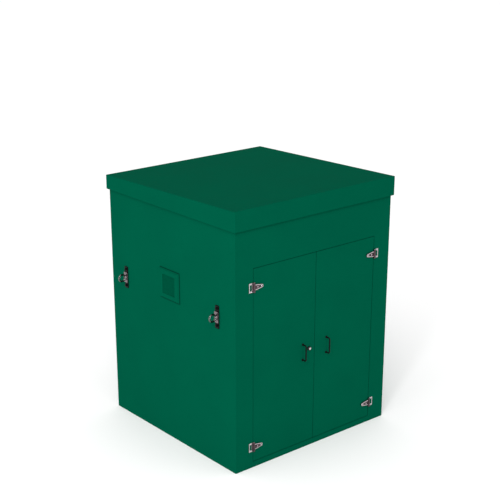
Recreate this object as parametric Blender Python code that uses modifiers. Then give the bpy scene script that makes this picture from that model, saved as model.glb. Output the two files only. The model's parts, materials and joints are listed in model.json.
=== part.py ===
"""Backflow preventer station: a lockable moulded cabinet around a reduced pressure zone valve.

Metres, +Z up. The origin is the middle of the base, on the ground; the doors face -Y.
"""

from math import cos, hypot, pi, radians, sin

import bmesh
import bpy
from mathutils import Matrix, Vector

MM = 0.001

# Clearances
SEAT = 0.3 * MM  # between pieces that rest on each other
RUN = 0.3 * MM  # round a shaft in its hole
DOOR_GAP = 3 * MM
SKIRT_GAP = 4 * MM
SLIP = 2 * MM  # round the floor panel
PIPE_SLEEVE = 3 * MM  # round a pipe in the floor

# Cabinet
WIDTH = 1200 * MM
DEPTH = 1200 * MM
EAVES = 1448 * MM
WALL = 30 * MM
FRONT_WALL = 60 * MM
SKIRT_LAP = 52 * MM
SKIRT = 10 * MM
FASCIA_FRONT = 117 * MM
FASCIA_BACK = 87.5 * MM
FLOOR = 25 * MM
ROOF_EDGE = 3 * MM

# Doors
OPENING_WIDTH = 946 * MM
OPENING_HEIGHT = 1183.5 * MM
SILL = 36 * MM
DOOR = 30 * MM
STOP_LIP = 20 * MM
SEAL = 2.4 * MM
SEAL_WIDTH = 12 * MM
DOOR_EDGE = 1.5 * MM

# Hinges
HINGE_TOP_DROP = 110 * MM
HINGE_BOTTOM_RISE = 98 * MM
PIN_RADIUS = 3 * MM
PIN_HEAD = 5 * MM
PIN_HEAD_HEIGHT = 2.5 * MM
KNUCKLE_RADIUS = 7 * MM
KNUCKLE = 11 * MM
LEAF_HEIGHT = 56 * MM
LEAF_WIDTH = 33 * MM
LEAF = 3.5 * MM
WINDOW_RIM = 5.5 * MM  # beside the leaf's window
WINDOW_HEIGHT = 34 * MM
STRAP_LENGTH = 66 * MM
STRAP_TIP = 20 * MM
STRAP_SHOULDER = 16 * MM  # where the strap starts to taper
STRAP_SCREWS = (26 * MM, 53 * MM)
STRAP = 8.5 * MM
HINGE_SCREW = 2.6 * MM

# Handles and lock
HANDLE_X = 94 * MM
HANDLE_Z = 622 * MM
HANDLE_CENTRES = 96 * MM
HANDLE_REACH = 30 * MM
HANDLE_RADIUS = 4 * MM
HANDLE_BEND = 10 * MM
LOCK_X = 46 * MM
LOCK_Z = 636 * MM
LOCK_HEAD = 12 * MM
LOCK_HEAD_HEIGHT = 12 * MM
LOCK_BARREL = 9.5 * MM
PLUG = 6.5 * MM
PLUG_TAIL = 4 * MM
PLUG_TAIL_LENGTH = 12 * MM
KEYWAY_WIDTH = 2 * MM
KEYWAY_HEIGHT = 9 * MM
KEYWAY_DEPTH = 8 * MM
CAM = 4 * MM
CAM_WIDTH = 18 * MM
CAM_REACH = 66 * MM

# Bolts inside the right door
BOLT_X = 45 * MM
BOLT_RADIUS = 6 * MM
BOLT_LENGTH = 190 * MM
BOLT_THROW = 22 * MM
BOLT_SETBACK = 14 * MM
BOLT_KNOB = 26 * MM
BOLT_KNOB_RADIUS = 5 * MM
GUIDE = 24 * MM
GUIDE_HEIGHT = 20 * MM
GUIDE_SPACING = 110 * MM
STRIKE_CLEARANCE = 1.5 * MM

# Lifting points
LIFT_Y = 445 * MM
LIFT_Z = 923 * MM
LIFT_STRAP_HEIGHT = 136 * MM
LIFT_STRAP_WIDTH = 30 * MM
LIFT_STRAP = 6 * MM
LIFT_HOLE = 4.5 * MM
EYE_PLATE_HEIGHT = 65 * MM
EYE_PLATE_WIDTH = 34 * MM
EYE_PLATE = 5 * MM
EYE_RING = 21 * MM
EYE_WIRE = 6 * MM
EYE_COLLAR = 13 * MM
EYE_COLLAR_TOP = 9 * MM
EYE_NECK = 6 * MM
EYE_SINK = 1.7 * MM  # how far the ring is set into its neck

# Vent in the left wall
VENT_Z = 989 * MM
VENT_FACE = 186 * MM
VENT_OPENING = 118 * MM
VENT_DUCT_WALL = 4 * MM
VENT_PROUD = 12 * MM
VENT_SLOPE = 9 * MM
VENT_BLADES = 6
VENT_BLADE = 2.5 * MM
VENT_BLADE_WIDTH = 20 * MM
VENT_BLADE_TILT = 40

# Pipework
LINE_Z = 650 * MM
LINE_Y = 80 * MM  # the line stands this far behind the middle, for room at the doors
PIPE_RADIUS = 30 * MM
PIPE_WALL = 4 * MM
RISER_X = 430 * MM
BEND_RADIUS = 90 * MM
VALVE_LENGTH = 118 * MM
VALVE_BODY = 42 * MM
VALVE_END = 38 * MM
VALVE_END_LENGTH = 24 * MM
VALVE_BARREL = 33.6 * MM
BALL_RADIUS = 33 * MM
BALL_CLEARANCE = 1.6 * MM  # its seats' room, wide enough for the facets as it turns
BALL_BORE = 22 * MM
BORE = 24 * MM
STEM_RADIUS = 6 * MM
STEM_BOSS = 13 * MM
STEM_BOSS_HEIGHT = 54 * MM
STEM_TOP = 70 * MM
LEVER_LENGTH = 150 * MM
LEVER_WIDTH = 22 * MM
LEVER_HUB = 16.5 * MM
LEVER = 5 * MM

# Valve body and its checks
BODY_HALF = 165 * MM
BODY_TUBE = 38 * MM
BODY_END = 41 * MM
CHECK_X = 72 * MM
BARREL_RADIUS = 47 * MM
BARREL_TOP = 88 * MM
BARREL_BOTTOM = 40 * MM
CHAMBER = 37 * MM
SEAT_HEIGHT = 30 * MM
SEAT_BORE = 25 * MM
GALLERY = 18 * MM
GALLERY_WALL = 7 * MM
GALLERY_HEIGHT = 58 * MM
OUTLET_DROP_X = 138 * MM
CROSS_BORE = 20.4 * MM
MERGE = 0.98  # a joined tube's share of the other's size, so that no faces coincide
ZONE_BORE = 14 * MM
ZONE_BOSS = 34 * MM
ZONE_DROP = 75 * MM
COVER = 12 * MM
DOME_TOP = 28 * MM
COVER_SOCKET = 9 * MM
COVER_SOCKET_LENGTH = 22 * MM
POPPET_RADIUS = 31 * MM
POPPET = 8 * MM
POPPET_STEM = 5 * MM
POPPET_TRAVEL = 10 * MM
SPRING_RADIUS = 20 * MM
SPRING_WIRE = 1.5 * MM
SPRING_TURNS = 3

# Relief valve and drain
RELIEF_RADIUS = 42 * MM
RELIEF_LENGTH = 100 * MM
RELIEF_BORE = 18 * MM
RELIEF_SEAT = 45 * MM
RELIEF_CHAMBER = 31 * MM
RELIEF_BASE = 9 * MM
RELIEF_OUTLET = 20 * MM
RELIEF_DISC = 24 * MM
RELIEF_DISC_HEIGHT = 6 * MM
RELIEF_STEM = 4 * MM
RELIEF_SPRING = 12 * MM
AIR_GAP = 40 * MM
TUNDISH_RADIUS = 48 * MM
TUNDISH_HEIGHT = 90 * MM
TUNDISH_WALL = 3 * MM
DRAIN_RADIUS = 21 * MM

# Test cocks
COCK_RADIUS = 8 * MM
COCK_HEX = 11.5 * MM
COCK_HEX_HALF = 10 * MM
COCK_LENGTH = 42 * MM
COCK_BORE = 3 * MM
COCK_STEM = 4 * MM
COCK_STEM_BORE = 2 * MM
COCK_STEM_HEIGHT = 14 * MM
COCK_NECK = 7.6 * MM
COCK_SLOT = 1.2 * MM
COCK_BOSS = 12 * MM
COCK_BOSS_REACH = 8 * MM
COCK_BOSS_ROOT = 0.5  # a boss starts this far out inside what it stands on
ZONE_COCK_RISE = 8 * MM

# Worked out from the values above
HALF_W = WIDTH / 2
HALF_D = DEPTH / 2
OVERHANG = SKIRT + SKIRT_GAP
WALL_TOP = EAVES + SKIRT_LAP
FRONT = -HALF_D
DOOR_BACK = FRONT + DOOR
STOP_FACE = DOOR_BACK + SEAL + 2 * SEAT
OPENING_TOP = SILL + OPENING_HEIGHT
HALF_OPENING = OPENING_WIDTH / 2
PIVOT_X = HALF_OPENING - DOOR_GAP / 2
PIVOT_Y = FRONT - SEAT - KNUCKLE_RADIUS - SEAT
STRAP_HEIGHT = LEAF_HEIGHT - 2 * KNUCKLE - 2 * SEAT
HINGE_HEIGHTS = {"upper": OPENING_TOP - HINGE_TOP_DROP, "lower": SILL + HINGE_BOTTOM_RISE}
BOLT_Y = DOOR_BACK + BOLT_SETBACK
VALVE_X = BODY_HALF + SEAT + VALVE_LENGTH / 2
LINE_END = BODY_HALF + 2 * SEAT + VALVE_LENGTH
RELIEF_TOP = LINE_Z - ZONE_DROP - SEAT
TUNDISH_TOP = RELIEF_TOP - RELIEF_LENGTH - AIR_GAP
SEAT_Z = LINE_Z + SEAT_HEIGHT
COVER_Z = LINE_Z + BARREL_TOP + SEAT
SPRING_START = SEAT_Z + SEAT + POPPET + SEAT

GREEN = (0.0, 0.098, 0.051)
FINISHES = {
    "green_moulding": (GREEN, 0.45, 0.0),
    "floor_board": ((0.35, 0.35, 0.33), 0.8, 0.0),
    "bright_steel": ((0.62, 0.62, 0.62), 0.2, 1.0),
    "black_coated_steel": ((0.012, 0.012, 0.012), 0.5, 0.0),
    "galvanised_steel": ((0.5, 0.51, 0.52), 0.45, 1.0),
    "seal_rubber": ((0.02, 0.02, 0.02), 0.8, 0.0),
    "bronze": ((0.55, 0.33, 0.14), 0.4, 1.0),
    "brass": ((0.75, 0.55, 0.22), 0.3, 1.0),
    "copper": ((0.72, 0.36, 0.22), 0.35, 1.0),
    "red_lever": ((0.45, 0.03, 0.02), 0.5, 0.0),
    "spring_steel": ((0.55, 0.55, 0.55), 0.3, 1.0),
    "valve_plastic": ((0.04, 0.04, 0.045), 0.5, 0.0),
    "drain_plastic": ((0.3, 0.3, 0.3), 0.5, 0.0),
}


def clear_scene():
    """Removes what the scene starts with."""
    for thing in list(bpy.data.objects):
        bpy.data.objects.remove(thing, do_unlink=True)


def make_collection(name):
    """A collection in the scene."""
    made = bpy.data.collections.new(name)
    bpy.context.scene.collection.children.link(made)
    return made


def make_material(name):
    """The plain material of one finish."""
    colour, roughness, metallic = FINISHES[name]
    material = bpy.data.materials.new(name)
    material.use_nodes = True
    shader = material.node_tree.nodes["Principled BSDF"]
    shader.inputs["Base Color"].default_value = (*colour, 1)
    shader.inputs["Roughness"].default_value = roughness
    shader.inputs["Metallic"].default_value = metallic
    return material


clear_scene()
PARTS = make_collection("backflow_preventer_station")
CUTTERS = make_collection("cutters")
MATERIALS = {name: make_material(name) for name in FINISHES}
PIPEWORK = bpy.data.objects.new("pipework", None)
PIPEWORK.location = (0, LINE_Y, 0)
CUTTERS.objects.link(PIPEWORK)


def as_object(name, bm):
    """A bmesh as an object in the cutters' collection, which part() moves if it is a piece."""
    bmesh.ops.recalc_face_normals(bm, faces=bm.faces)
    mesh = bpy.data.meshes.new(name)
    bm.to_mesh(mesh)
    bm.free()
    thing = bpy.data.objects.new(name, mesh)
    CUTTERS.objects.link(thing)
    thing.hide_render = True
    thing.display_type = "WIRE"
    return thing


def ease(bm, edge, segments):
    """Rounds every edge of a bmesh."""
    bmesh.ops.bevel(
        bm, geom=bm.edges[:], offset=edge, segments=segments, affect="EDGES", profile=0.5, material=-1
    )


def box(low, high, edge=0.0):
    """A block between two corners, its edges rounded by edge."""
    bm = bmesh.new()
    bmesh.ops.create_cube(bm, size=1)
    low, high = Vector(low), Vector(high)
    place = Matrix.Translation((low + high) / 2) @ Matrix.Diagonal((*(high - low), 1))
    bmesh.ops.transform(bm, matrix=place, verts=bm.verts)
    if edge:
        ease(bm, edge, 1)
    return as_object("block", bm)


def rod(start, end, radius, sides=24, end_radius=None):
    """A cylinder, a cone or, with few sides, a prism between two points."""
    bm = bmesh.new()
    start, end = Vector(start), Vector(end)
    way = end - start
    turn = way.to_track_quat("Z", "Y").to_matrix().to_4x4()
    bmesh.ops.create_cone(
        bm,
        cap_ends=True,
        segments=sides,
        radius1=radius,
        radius2=radius if end_radius is None else end_radius,
        depth=way.length,
        matrix=Matrix.Translation((start + end) / 2) @ turn,
    )
    return as_object("rod", bm)


def ball(centre, radius):
    """A sphere, its poles along X."""
    bm = bmesh.new()
    turn = Matrix.Rotation(pi / 2, 4, "Y")
    place = Matrix.Translation(centre) @ turn
    bmesh.ops.create_uvsphere(bm, u_segments=16, v_segments=10, radius=radius, matrix=place)
    return as_object("ball", bm)


def turned(profile, centre=(0, 0, 0), steps=32):
    """A shape turned about a vertical axis; its profile runs down the outer side, top to bottom."""
    mesh = bpy.data.meshes.new("turned")
    count = len(profile)
    mesh.from_pydata([(r, 0, z) for r, z in profile], [(i, i + 1) for i in range(count - 1)], [])
    thing = bpy.data.objects.new("turned", mesh)
    CUTTERS.objects.link(thing)
    thing.location = centre
    screw = thing.modifiers.new("turn", "SCREW")
    screw.steps = steps
    screw.render_steps = steps
    screw.use_merge_vertices = True
    screw.merge_threshold = 1e-5
    thing.hide_render = True
    thing.display_type = "WIRE"
    return thing


def outline(points, low, high, axis="Y"):
    """A flat outline in XZ (axis Y) or XY (axis Z), drawn out from low to high along the axis."""
    bm = bmesh.new()
    place = (lambda p: (p[0], low, p[1])) if axis == "Y" else (lambda p: (p[0], p[1], low))
    verts = [bm.verts.new(place(p)) for p in points]
    face = bm.faces.new(verts)
    raised = bmesh.ops.extrude_face_region(bm, geom=[face])
    way = Vector((0, high - low, 0)) if axis == "Y" else Vector((0, 0, high - low))
    moved = [g for g in raised["geom"] if isinstance(g, bmesh.types.BMVert)]
    bmesh.ops.translate(bm, vec=way, verts=moved)
    return as_object("outline", bm)


def arc(centre, radius, start, end, steps):
    """Points along an arc, angles in degrees."""
    angles = [radians(start + (end - start) * i / steps) for i in range(steps + 1)]
    return [(centre[0] + radius * cos(a), centre[1] + radius * sin(a)) for a in angles]


def wire(points, radius, resolution=3):
    """A round bar or pipe along points, as a closed mesh."""
    curve = bpy.data.curves.new("wire", "CURVE")
    curve.dimensions = "3D"
    curve.bevel_depth = radius
    curve.bevel_resolution = resolution
    curve.use_fill_caps = True
    spline = curve.splines.new("POLY")
    spline.points.add(len(points) - 1)
    for point, place in zip(spline.points, points):
        point.co = (*place, 1)
    guide = bpy.data.objects.new("wire", curve)
    CUTTERS.objects.link(guide)
    bpy.context.view_layer.update()
    evaluated = guide.evaluated_get(bpy.context.evaluated_depsgraph_get())
    bm = bmesh.new()
    bm.from_mesh(bpy.data.meshes.new_from_object(evaluated))
    bmesh.ops.remove_doubles(bm, verts=bm.verts, dist=1e-6)
    bpy.data.objects.remove(guide, do_unlink=True)
    return as_object("wire", bm)


def part(name, finish, base, joins=(), cuts=(), origin=(0, 0, 0), carrier=None):
    """Names a piece, joins and cuts it, gives its finish and puts its origin on its axis."""
    base.name = name
    CUTTERS.objects.unlink(base)
    PARTS.objects.link(base)
    base.hide_render = False
    base.display_type = "TEXTURED"
    base.data.materials.append(MATERIALS[finish])
    origin = Vector(origin)
    shift = origin - base.location
    base.data.transform(Matrix.Translation(-shift))
    base.location = origin
    for thing in (base, *joins, *cuts):
        thing.parent = carrier
    for operation, tools in (("UNION", joins), ("DIFFERENCE", cuts)):
        for tool in tools:
            tool.name = f"{name}_{operation.lower()}"
            boolean = base.modifiers.new(tool.name, "BOOLEAN")
            boolean.operation = operation
            boolean.solver = "EXACT"
            boolean.object = tool
    return base


def mirrored(points):
    """An outline's upper half and its mirror image below."""
    return points + [(x, -z) for x, z in reversed(points) if abs(z) > 1e-9]


def cabinet():
    """The four walls, the floor panel and the roof."""
    inner = HALF_W - WALL
    lip_half = HALF_OPENING - STOP_LIP
    strike = BOLT_RADIUS + STRIKE_CLEARANCE
    lip_z = (SILL + STOP_LIP, OPENING_TOP - STOP_LIP)
    duct = VENT_OPENING / 2 + VENT_DUCT_WALL + SEAT
    beyond = WALL
    part(
        "cabinet_shell",
        "green_moulding",
        box((-HALF_W, -HALF_D, 0), (HALF_W, HALF_D, WALL_TOP)),
        cuts=[
            box((-inner, FRONT + FRONT_WALL, -beyond), (inner, HALF_D - WALL, WALL_TOP + beyond)),
            box((-HALF_OPENING, FRONT - beyond, SILL), (HALF_OPENING, STOP_FACE, OPENING_TOP)),
            box((-lip_half, FRONT, lip_z[0]), (lip_half, FRONT + FRONT_WALL + beyond, lip_z[1])),
            rod((BOLT_X, BOLT_Y, lip_z[1] - beyond), (BOLT_X, BOLT_Y, OPENING_TOP + BOLT_THROW), strike, 16),
            rod((BOLT_X, BOLT_Y, SILL - STOP_LIP / 2), (BOLT_X, BOLT_Y, lip_z[0] + beyond), strike, 16),
            box((-HALF_W - beyond, -duct, VENT_Z - duct), (-inner + beyond, duct, VENT_Z + duct)),
        ],
    )
    reach = inner - SLIP
    part(
        "floor_panel",
        "floor_board",
        box((-reach, FRONT + FRONT_WALL + SLIP, 0), (reach, HALF_D - WALL - SLIP, FLOOR)),
        cuts=[
            rod((x, LINE_Y, -beyond), (x, LINE_Y, FLOOR + beyond), radius + PIPE_SLEEVE, 24)
            for x, radius in ((-RISER_X, PIPE_RADIUS), (0, DRAIN_RADIUS), (RISER_X, PIPE_RADIUS))
        ],
    )
    half_w = HALF_W + OVERHANG
    half_d = HALF_D + OVERHANG
    bm = bmesh.new()
    tops = (EAVES + FASCIA_BACK, EAVES + FASCIA_FRONT)
    corners = [(-half_d, EAVES), (half_d, EAVES), (half_d, tops[0]), (-half_d, tops[1])]
    face = bm.faces.new([bm.verts.new((-half_w, y, z)) for y, z in corners])
    raised = bmesh.ops.extrude_face_region(bm, geom=[face])
    moved = [g for g in raised["geom"] if isinstance(g, bmesh.types.BMVert)]
    bmesh.ops.translate(bm, vec=(2 * half_w, 0, 0), verts=moved)
    ease(bm, ROOF_EDGE, 2)
    part(
        "roof_cap",
        "green_moulding",
        as_object("roof", bm),
        cuts=[
            box(
                (-half_w + SKIRT, -half_d + SKIRT, EAVES - beyond),
                (half_w - SKIRT, half_d - SKIRT, WALL_TOP + SEAT),
            )
        ],
    )


def door_seal():
    """The gasket on the face that both doors close against."""
    outer = HALF_OPENING - SEAT
    inner = outer - SEAL_WIDTH
    low, high = SILL + SEAT, OPENING_TOP - SEAT
    back = STOP_FACE - SEAT
    part(
        "door_seal",
        "seal_rubber",
        box((-outer, back - SEAL, low), (outer, back, high)),
        cuts=[box((-inner, back - DOOR, low + SEAL_WIDTH), (inner, back + DOOR, high - SEAL_WIDTH))],
    )


def doors():
    """Two flush doors; the right one carries the guides of its bolts."""
    for side, sign in (("left", -1), ("right", 1)):
        near, far = sorted((sign * DOOR_GAP / 2, sign * (HALF_OPENING - DOOR_GAP)))
        panel = box(
            (near, FRONT, SILL + DOOR_GAP),
            (far, DOOR_BACK, OPENING_TOP - DOOR_GAP),
            DOOR_EDGE,
        )
        joins = []
        cuts = []
        if side == "left":
            ends = [(-LOCK_X, y, LOCK_Z) for y in (FRONT - DOOR, DOOR_BACK + DOOR)]
            cuts.append(rod(*ends, LOCK_BARREL + RUN))
        else:
            hole = BOLT_RADIUS + RUN
            for end in bolt_ends():
                heights = guide_heights(end)
                for centre in heights:
                    joins.append(
                        box(
                            (BOLT_X - GUIDE / 2, DOOR_BACK - DOOR_EDGE, centre - GUIDE_HEIGHT / 2),
                            (BOLT_X + GUIDE / 2, BOLT_Y + GUIDE / 2, centre + GUIDE_HEIGHT / 2),
                        )
                    )
                span = (min(heights) - GUIDE_HEIGHT, max(heights) + GUIDE_HEIGHT)
                cuts.append(rod((BOLT_X, BOLT_Y, span[0]), (BOLT_X, BOLT_Y, span[1]), hole, 16))
        part(f"{side}_door", "green_moulding", panel, joins, cuts, (sign * PIVOT_X, PIVOT_Y, 0))


def bolt_ends():
    """Each bolt's name, the height of its locking end at rest, and the way it is thrown."""
    clear = STRIKE_CLEARANCE
    return (
        ("top", OPENING_TOP - STOP_LIP - clear, 1),
        ("bottom", SILL + STOP_LIP + clear, -1),
    )


def guide_heights(end):
    """The middles of a bolt's two guides, clear of the stop that the bolt enters."""
    _, tip, way = end
    first = tip - way * (GUIDE_HEIGHT / 2 + GUIDE_HEIGHT)
    return first, first - way * GUIDE_SPACING


def bolts():
    """The right door's two sliding bolts, drawn back."""
    for end in bolt_ends():
        name, tip, way = end
        tail = tip - way * BOLT_LENGTH
        knob = sum(guide_heights(end)) / 2
        part(
            f"{name}_bolt",
            "bright_steel",
            rod((BOLT_X, BOLT_Y, tail), (BOLT_X, BOLT_Y, tip), BOLT_RADIUS, 16),
            joins=[rod((BOLT_X, BOLT_Y, knob), (BOLT_X, BOLT_Y + BOLT_KNOB, knob), BOLT_KNOB_RADIUS, 16)],
        )


def hinges():
    """Four strap hinges: a leaf on the frame, a strap on the door and a pin."""
    for side, sign in (("left", -1), ("right", 1)):
        for level, height in HINGE_HEIGHTS.items():
            hinge(f"{level}_{side}", sign, height)


def hinge(name, sign, height):
    """One hinge about its pin; sign is the side of the cabinet."""
    x, y = sign * PIVOT_X, PIVOT_Y
    low, high = height - LEAF_HEIGHT / 2, height + LEAF_HEIGHT / 2
    strap_low, strap_high = height - STRAP_HEIGHT / 2, height + STRAP_HEIGHT / 2
    back = FRONT - SEAT
    bore = PIN_RADIUS + RUN
    plate_x = sorted((x, x + sign * LEAF_WIDTH))
    window_x = sorted((x + sign * (KNUCKLE_RADIUS + WINDOW_RIM), x + sign * (LEAF_WIDTH - WINDOW_RIM)))
    screw_x = sum(window_x) / 2
    screw_rise = (LEAF_HEIGHT + WINDOW_HEIGHT) / 4
    part(
        f"{name}_hinge_leaf",
        "bright_steel",
        box((plate_x[0], back - LEAF, low), (plate_x[1], back, high)),
        joins=[rod((x, y, low), (x, y, high), KNUCKLE_RADIUS, 16)],
        cuts=[
            rod((x, y, strap_low - SEAT), (x, y, strap_high + SEAT), KNUCKLE_RADIUS + 2 * SEAT, 16),
            box(
                (min(x, x + sign * KNUCKLE_RADIUS) - SEAT, back - STRAP, strap_low - SEAT),
                (max(x, x + sign * KNUCKLE_RADIUS) + SEAT, back + LEAF, strap_high + SEAT),
            ),
            rod((x, y, low - KNUCKLE), (x, y, high + KNUCKLE), bore, 12),
            box(
                (window_x[0], back - STRAP, height - WINDOW_HEIGHT / 2),
                (window_x[1], back + LEAF, height + WINDOW_HEIGHT / 2),
            ),
        ]
        + [
            rod((screw_x, FRONT - DOOR, z), (screw_x, FRONT, z), HINGE_SCREW, 8)
            for z in (height - screw_rise, height + screw_rise)
        ],
        origin=(x, y, height),
    )
    tip = STRAP_TIP / 2
    end = STRAP_LENGTH - tip
    half = [(0, STRAP_HEIGHT / 2), (STRAP_SHOULDER, STRAP_HEIGHT / 2)]
    half += arc((end, 0), tip, 75, 0, 5)
    points = [(x - sign * px, height + pz) for px, pz in mirrored(half)]
    part(
        f"{name}_hinge_strap",
        "bright_steel",
        outline(points, back - STRAP, back),
        joins=[rod((x, y, strap_low), (x, y, strap_high), KNUCKLE_RADIUS, 16)],
        cuts=[rod((x, y, low), (x, y, high), bore, 12)]
        + [
            rod((x - sign * reach, FRONT - DOOR, height), (x - sign * reach, FRONT, height), HINGE_SCREW, 8)
            for reach in STRAP_SCREWS
        ],
        origin=(x, y, height),
    )
    part(
        f"{name}_hinge_pin",
        "bright_steel",
        turned(
            [
                (0, high + SEAT + PIN_HEAD_HEIGHT),
                (PIN_HEAD, high + SEAT + PIN_HEAD_HEIGHT),
                (PIN_HEAD, high + SEAT),
                (PIN_RADIUS, high + SEAT),
                (PIN_RADIUS, low),
                (0, low),
            ],
            (x, y, 0),
            12,
        ),
        origin=(x, y, height),
    )


def handles():
    """A bent wire handle on each door."""
    half = HANDLE_CENTRES / 2
    foot = FRONT - SEAT
    out = FRONT - HANDLE_REACH
    bend = arc((out + HANDLE_BEND, HANDLE_Z + half - HANDLE_BEND), HANDLE_BEND, 90, 180, 5)
    lower = [(y, 2 * HANDLE_Z - z) for y, z in reversed(bend)]
    path = [(foot, HANDLE_Z + half)] + bend + lower + [(foot, HANDLE_Z - half)]
    for side, sign in (("left", -1), ("right", 1)):
        part(
            f"{side}_pull_handle",
            "black_coated_steel",
            wire([(sign * HANDLE_X, y, z) for y, z in path], HANDLE_RADIUS, 4),
        )


def lock():
    """The left door's cam lock: its barrel, the plug that the key turns, and the cam behind."""
    x, z = -LOCK_X, LOCK_Z
    face = FRONT - SEAT - LOCK_HEAD_HEIGHT
    tail = DOOR_BACK + PLUG_TAIL_LENGTH
    part(
        "lock_barrel",
        "bright_steel",
        rod((x, face, z), (x, FRONT - SEAT, z), LOCK_HEAD, 32),
        joins=[rod((x, face + SEAT, z), (x, DOOR_BACK, z), LOCK_BARREL)],
        cuts=[rod((x, face - DOOR, z), (x, DOOR_BACK + DOOR, z), PLUG + RUN, 24)],
        origin=(x, face, z),
    )
    part(
        "lock_plug",
        "brass",
        rod((x, face - 2 * SEAT, z), (x, DOOR_BACK + SEAT, z), PLUG, 24),
        joins=[rod((x, FRONT, z), (x, tail, z), PLUG_TAIL, 16)],
        cuts=[
            box(
                (x - KEYWAY_WIDTH / 2, face - DOOR, z - KEYWAY_HEIGHT / 2),
                (x + KEYWAY_WIDTH / 2, face + KEYWAY_DEPTH, z + KEYWAY_HEIGHT / 2),
            )
        ],
        origin=(x, face, z),
    )
    cam_front = DOOR_BACK + 2 * SEAT
    half = CAM_WIDTH / 2
    end = CAM_REACH - half
    shape = arc((x, z), half, 0, 180, 8) + arc((x, z - end), half, 180, 360, 8)
    part(
        "lock_cam",
        "galvanised_steel",
        outline(shape, cam_front, cam_front + CAM),
        cuts=[rod((x, cam_front - CAM, z), (x, cam_front + 2 * CAM, z), PLUG_TAIL + RUN, 16)],
        origin=(x, cam_front, z),
    )


def lifting_points():
    """A lifting eye on its load strap at each end of both side walls."""
    for side, sign in (("left", -1), ("right", 1)):
        for end, y in (("front", -LIFT_Y), ("rear", LIFT_Y)):
            lifting_point(f"{end}_{side}", sign, y)


def lifting_point(name, sign, y):
    """One strap and eye; sign is the side of the cabinet."""
    wall = HALF_W + SEAT
    outer = wall + LIFT_STRAP
    face = outer + SEAT
    half = LIFT_STRAP_WIDTH / 2
    strap_x = sorted((sign * wall, sign * outer))
    hole_z = LIFT_STRAP_HEIGHT / 2 - half
    part(
        f"{name}_lifting_strap",
        "black_coated_steel",
        box(
            (strap_x[0], y - half, LIFT_Z - LIFT_STRAP_HEIGHT / 2),
            (strap_x[1], y + half, LIFT_Z + LIFT_STRAP_HEIGHT / 2),
            MM,
        ),
        cuts=[
            rod((sign * (wall - WALL), y, z), (sign * (outer + WALL), y, z), LIFT_HOLE, 12)
            for z in (LIFT_Z - hole_z, LIFT_Z + hole_z)
        ],
    )
    plate_x = sorted((sign * face, sign * (face + EYE_PLATE)))
    centre = face + EYE_PLATE + EYE_NECK - EYE_SINK + EYE_RING
    bm = bmesh.new()
    bmesh.ops.create_circle(bm, segments=8, radius=EYE_WIRE)
    bmesh.ops.translate(bm, vec=(EYE_RING, 0, 0), verts=bm.verts)
    section = bm.verts[:] + bm.edges[:]
    bmesh.ops.spin(
        bm, geom=section, cent=(0, 0, 0), axis=(0, 1, 0), angle=2 * pi, steps=20, use_merge=True
    )
    bmesh.ops.translate(bm, vec=(sign * centre, y, LIFT_Z), verts=bm.verts)
    ring = as_object("ring", bm)
    part(
        f"{name}_lifting_eye",
        "bright_steel",
        box(
            (plate_x[0], y - EYE_PLATE_WIDTH / 2, LIFT_Z - EYE_PLATE_HEIGHT / 2),
            (plate_x[1], y + EYE_PLATE_WIDTH / 2, LIFT_Z + EYE_PLATE_HEIGHT / 2),
            MM,
        ),
        joins=[
            rod(
                (sign * (face + EYE_PLATE / 2), y, LIFT_Z),
                (sign * (face + EYE_PLATE + EYE_NECK), y, LIFT_Z),
                EYE_COLLAR,
                18,
                EYE_COLLAR_TOP,
            ),
            ring,
        ],
    )


def vent():
    """The louvred vent: a sloped face frame, a duct through the wall and its blades."""
    wall = -HALF_W
    face = wall - VENT_PROUD
    inner = wall + WALL
    opening = VENT_OPENING / 2
    duct = opening + VENT_DUCT_WALL
    half = VENT_FACE / 2
    bm = bmesh.new()
    bmesh.ops.create_cone(
        bm,
        cap_ends=True,
        segments=4,
        radius1=half * hypot(1, 1),
        radius2=(half - VENT_SLOPE) * hypot(1, 1),
        depth=VENT_PROUD - SEAT,
        matrix=Matrix.Translation(((wall - SEAT + face) / 2, 0, VENT_Z))
        @ Matrix.Rotation(-pi / 2, 4, "Y")
        @ Matrix.Rotation(pi / 4, 4, "Z"),
    )
    frame = as_object("frame", bm)
    blades = []
    pitch = VENT_OPENING / VENT_BLADES
    for i in range(VENT_BLADES):
        z = VENT_Z - opening + pitch * (i + 0.5)
        blade = box(
            (-VENT_BLADE_WIDTH / 2, -opening - VENT_DUCT_WALL / 2, -VENT_BLADE / 2),
            (VENT_BLADE_WIDTH / 2, opening + VENT_DUCT_WALL / 2, VENT_BLADE / 2),
        )
        tilt = Matrix.Rotation(radians(-VENT_BLADE_TILT), 4, "Y")
        blade.data.transform(Matrix.Translation((wall, 0, z)) @ tilt)
        blades.append(blade)
    slot = box((face - WALL, -opening, VENT_Z - opening), (inner + WALL, opening, VENT_Z + opening))
    sleeve = box((wall - VENT_PROUD / 2, -duct, VENT_Z - duct), (inner, duct, VENT_Z + duct))
    piece = part("left_vent", "green_moulding", frame, joins=[sleeve])
    for operation, tools in (("DIFFERENCE", [slot]), ("UNION", blades)):
        for tool in tools:
            tool.name = f"left_vent_{operation.lower()}"
            boolean = piece.modifiers.new(tool.name, "BOOLEAN")
            boolean.operation = operation
            boolean.solver = "EXACT"
            boolean.object = tool


def fitting(name, finish, base, joins=(), cuts=(), origin=(0, 0, 0)):
    """A piece of the pipework, placed with the line."""
    return part(name, finish, base, joins, cuts, origin, PIPEWORK)


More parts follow.
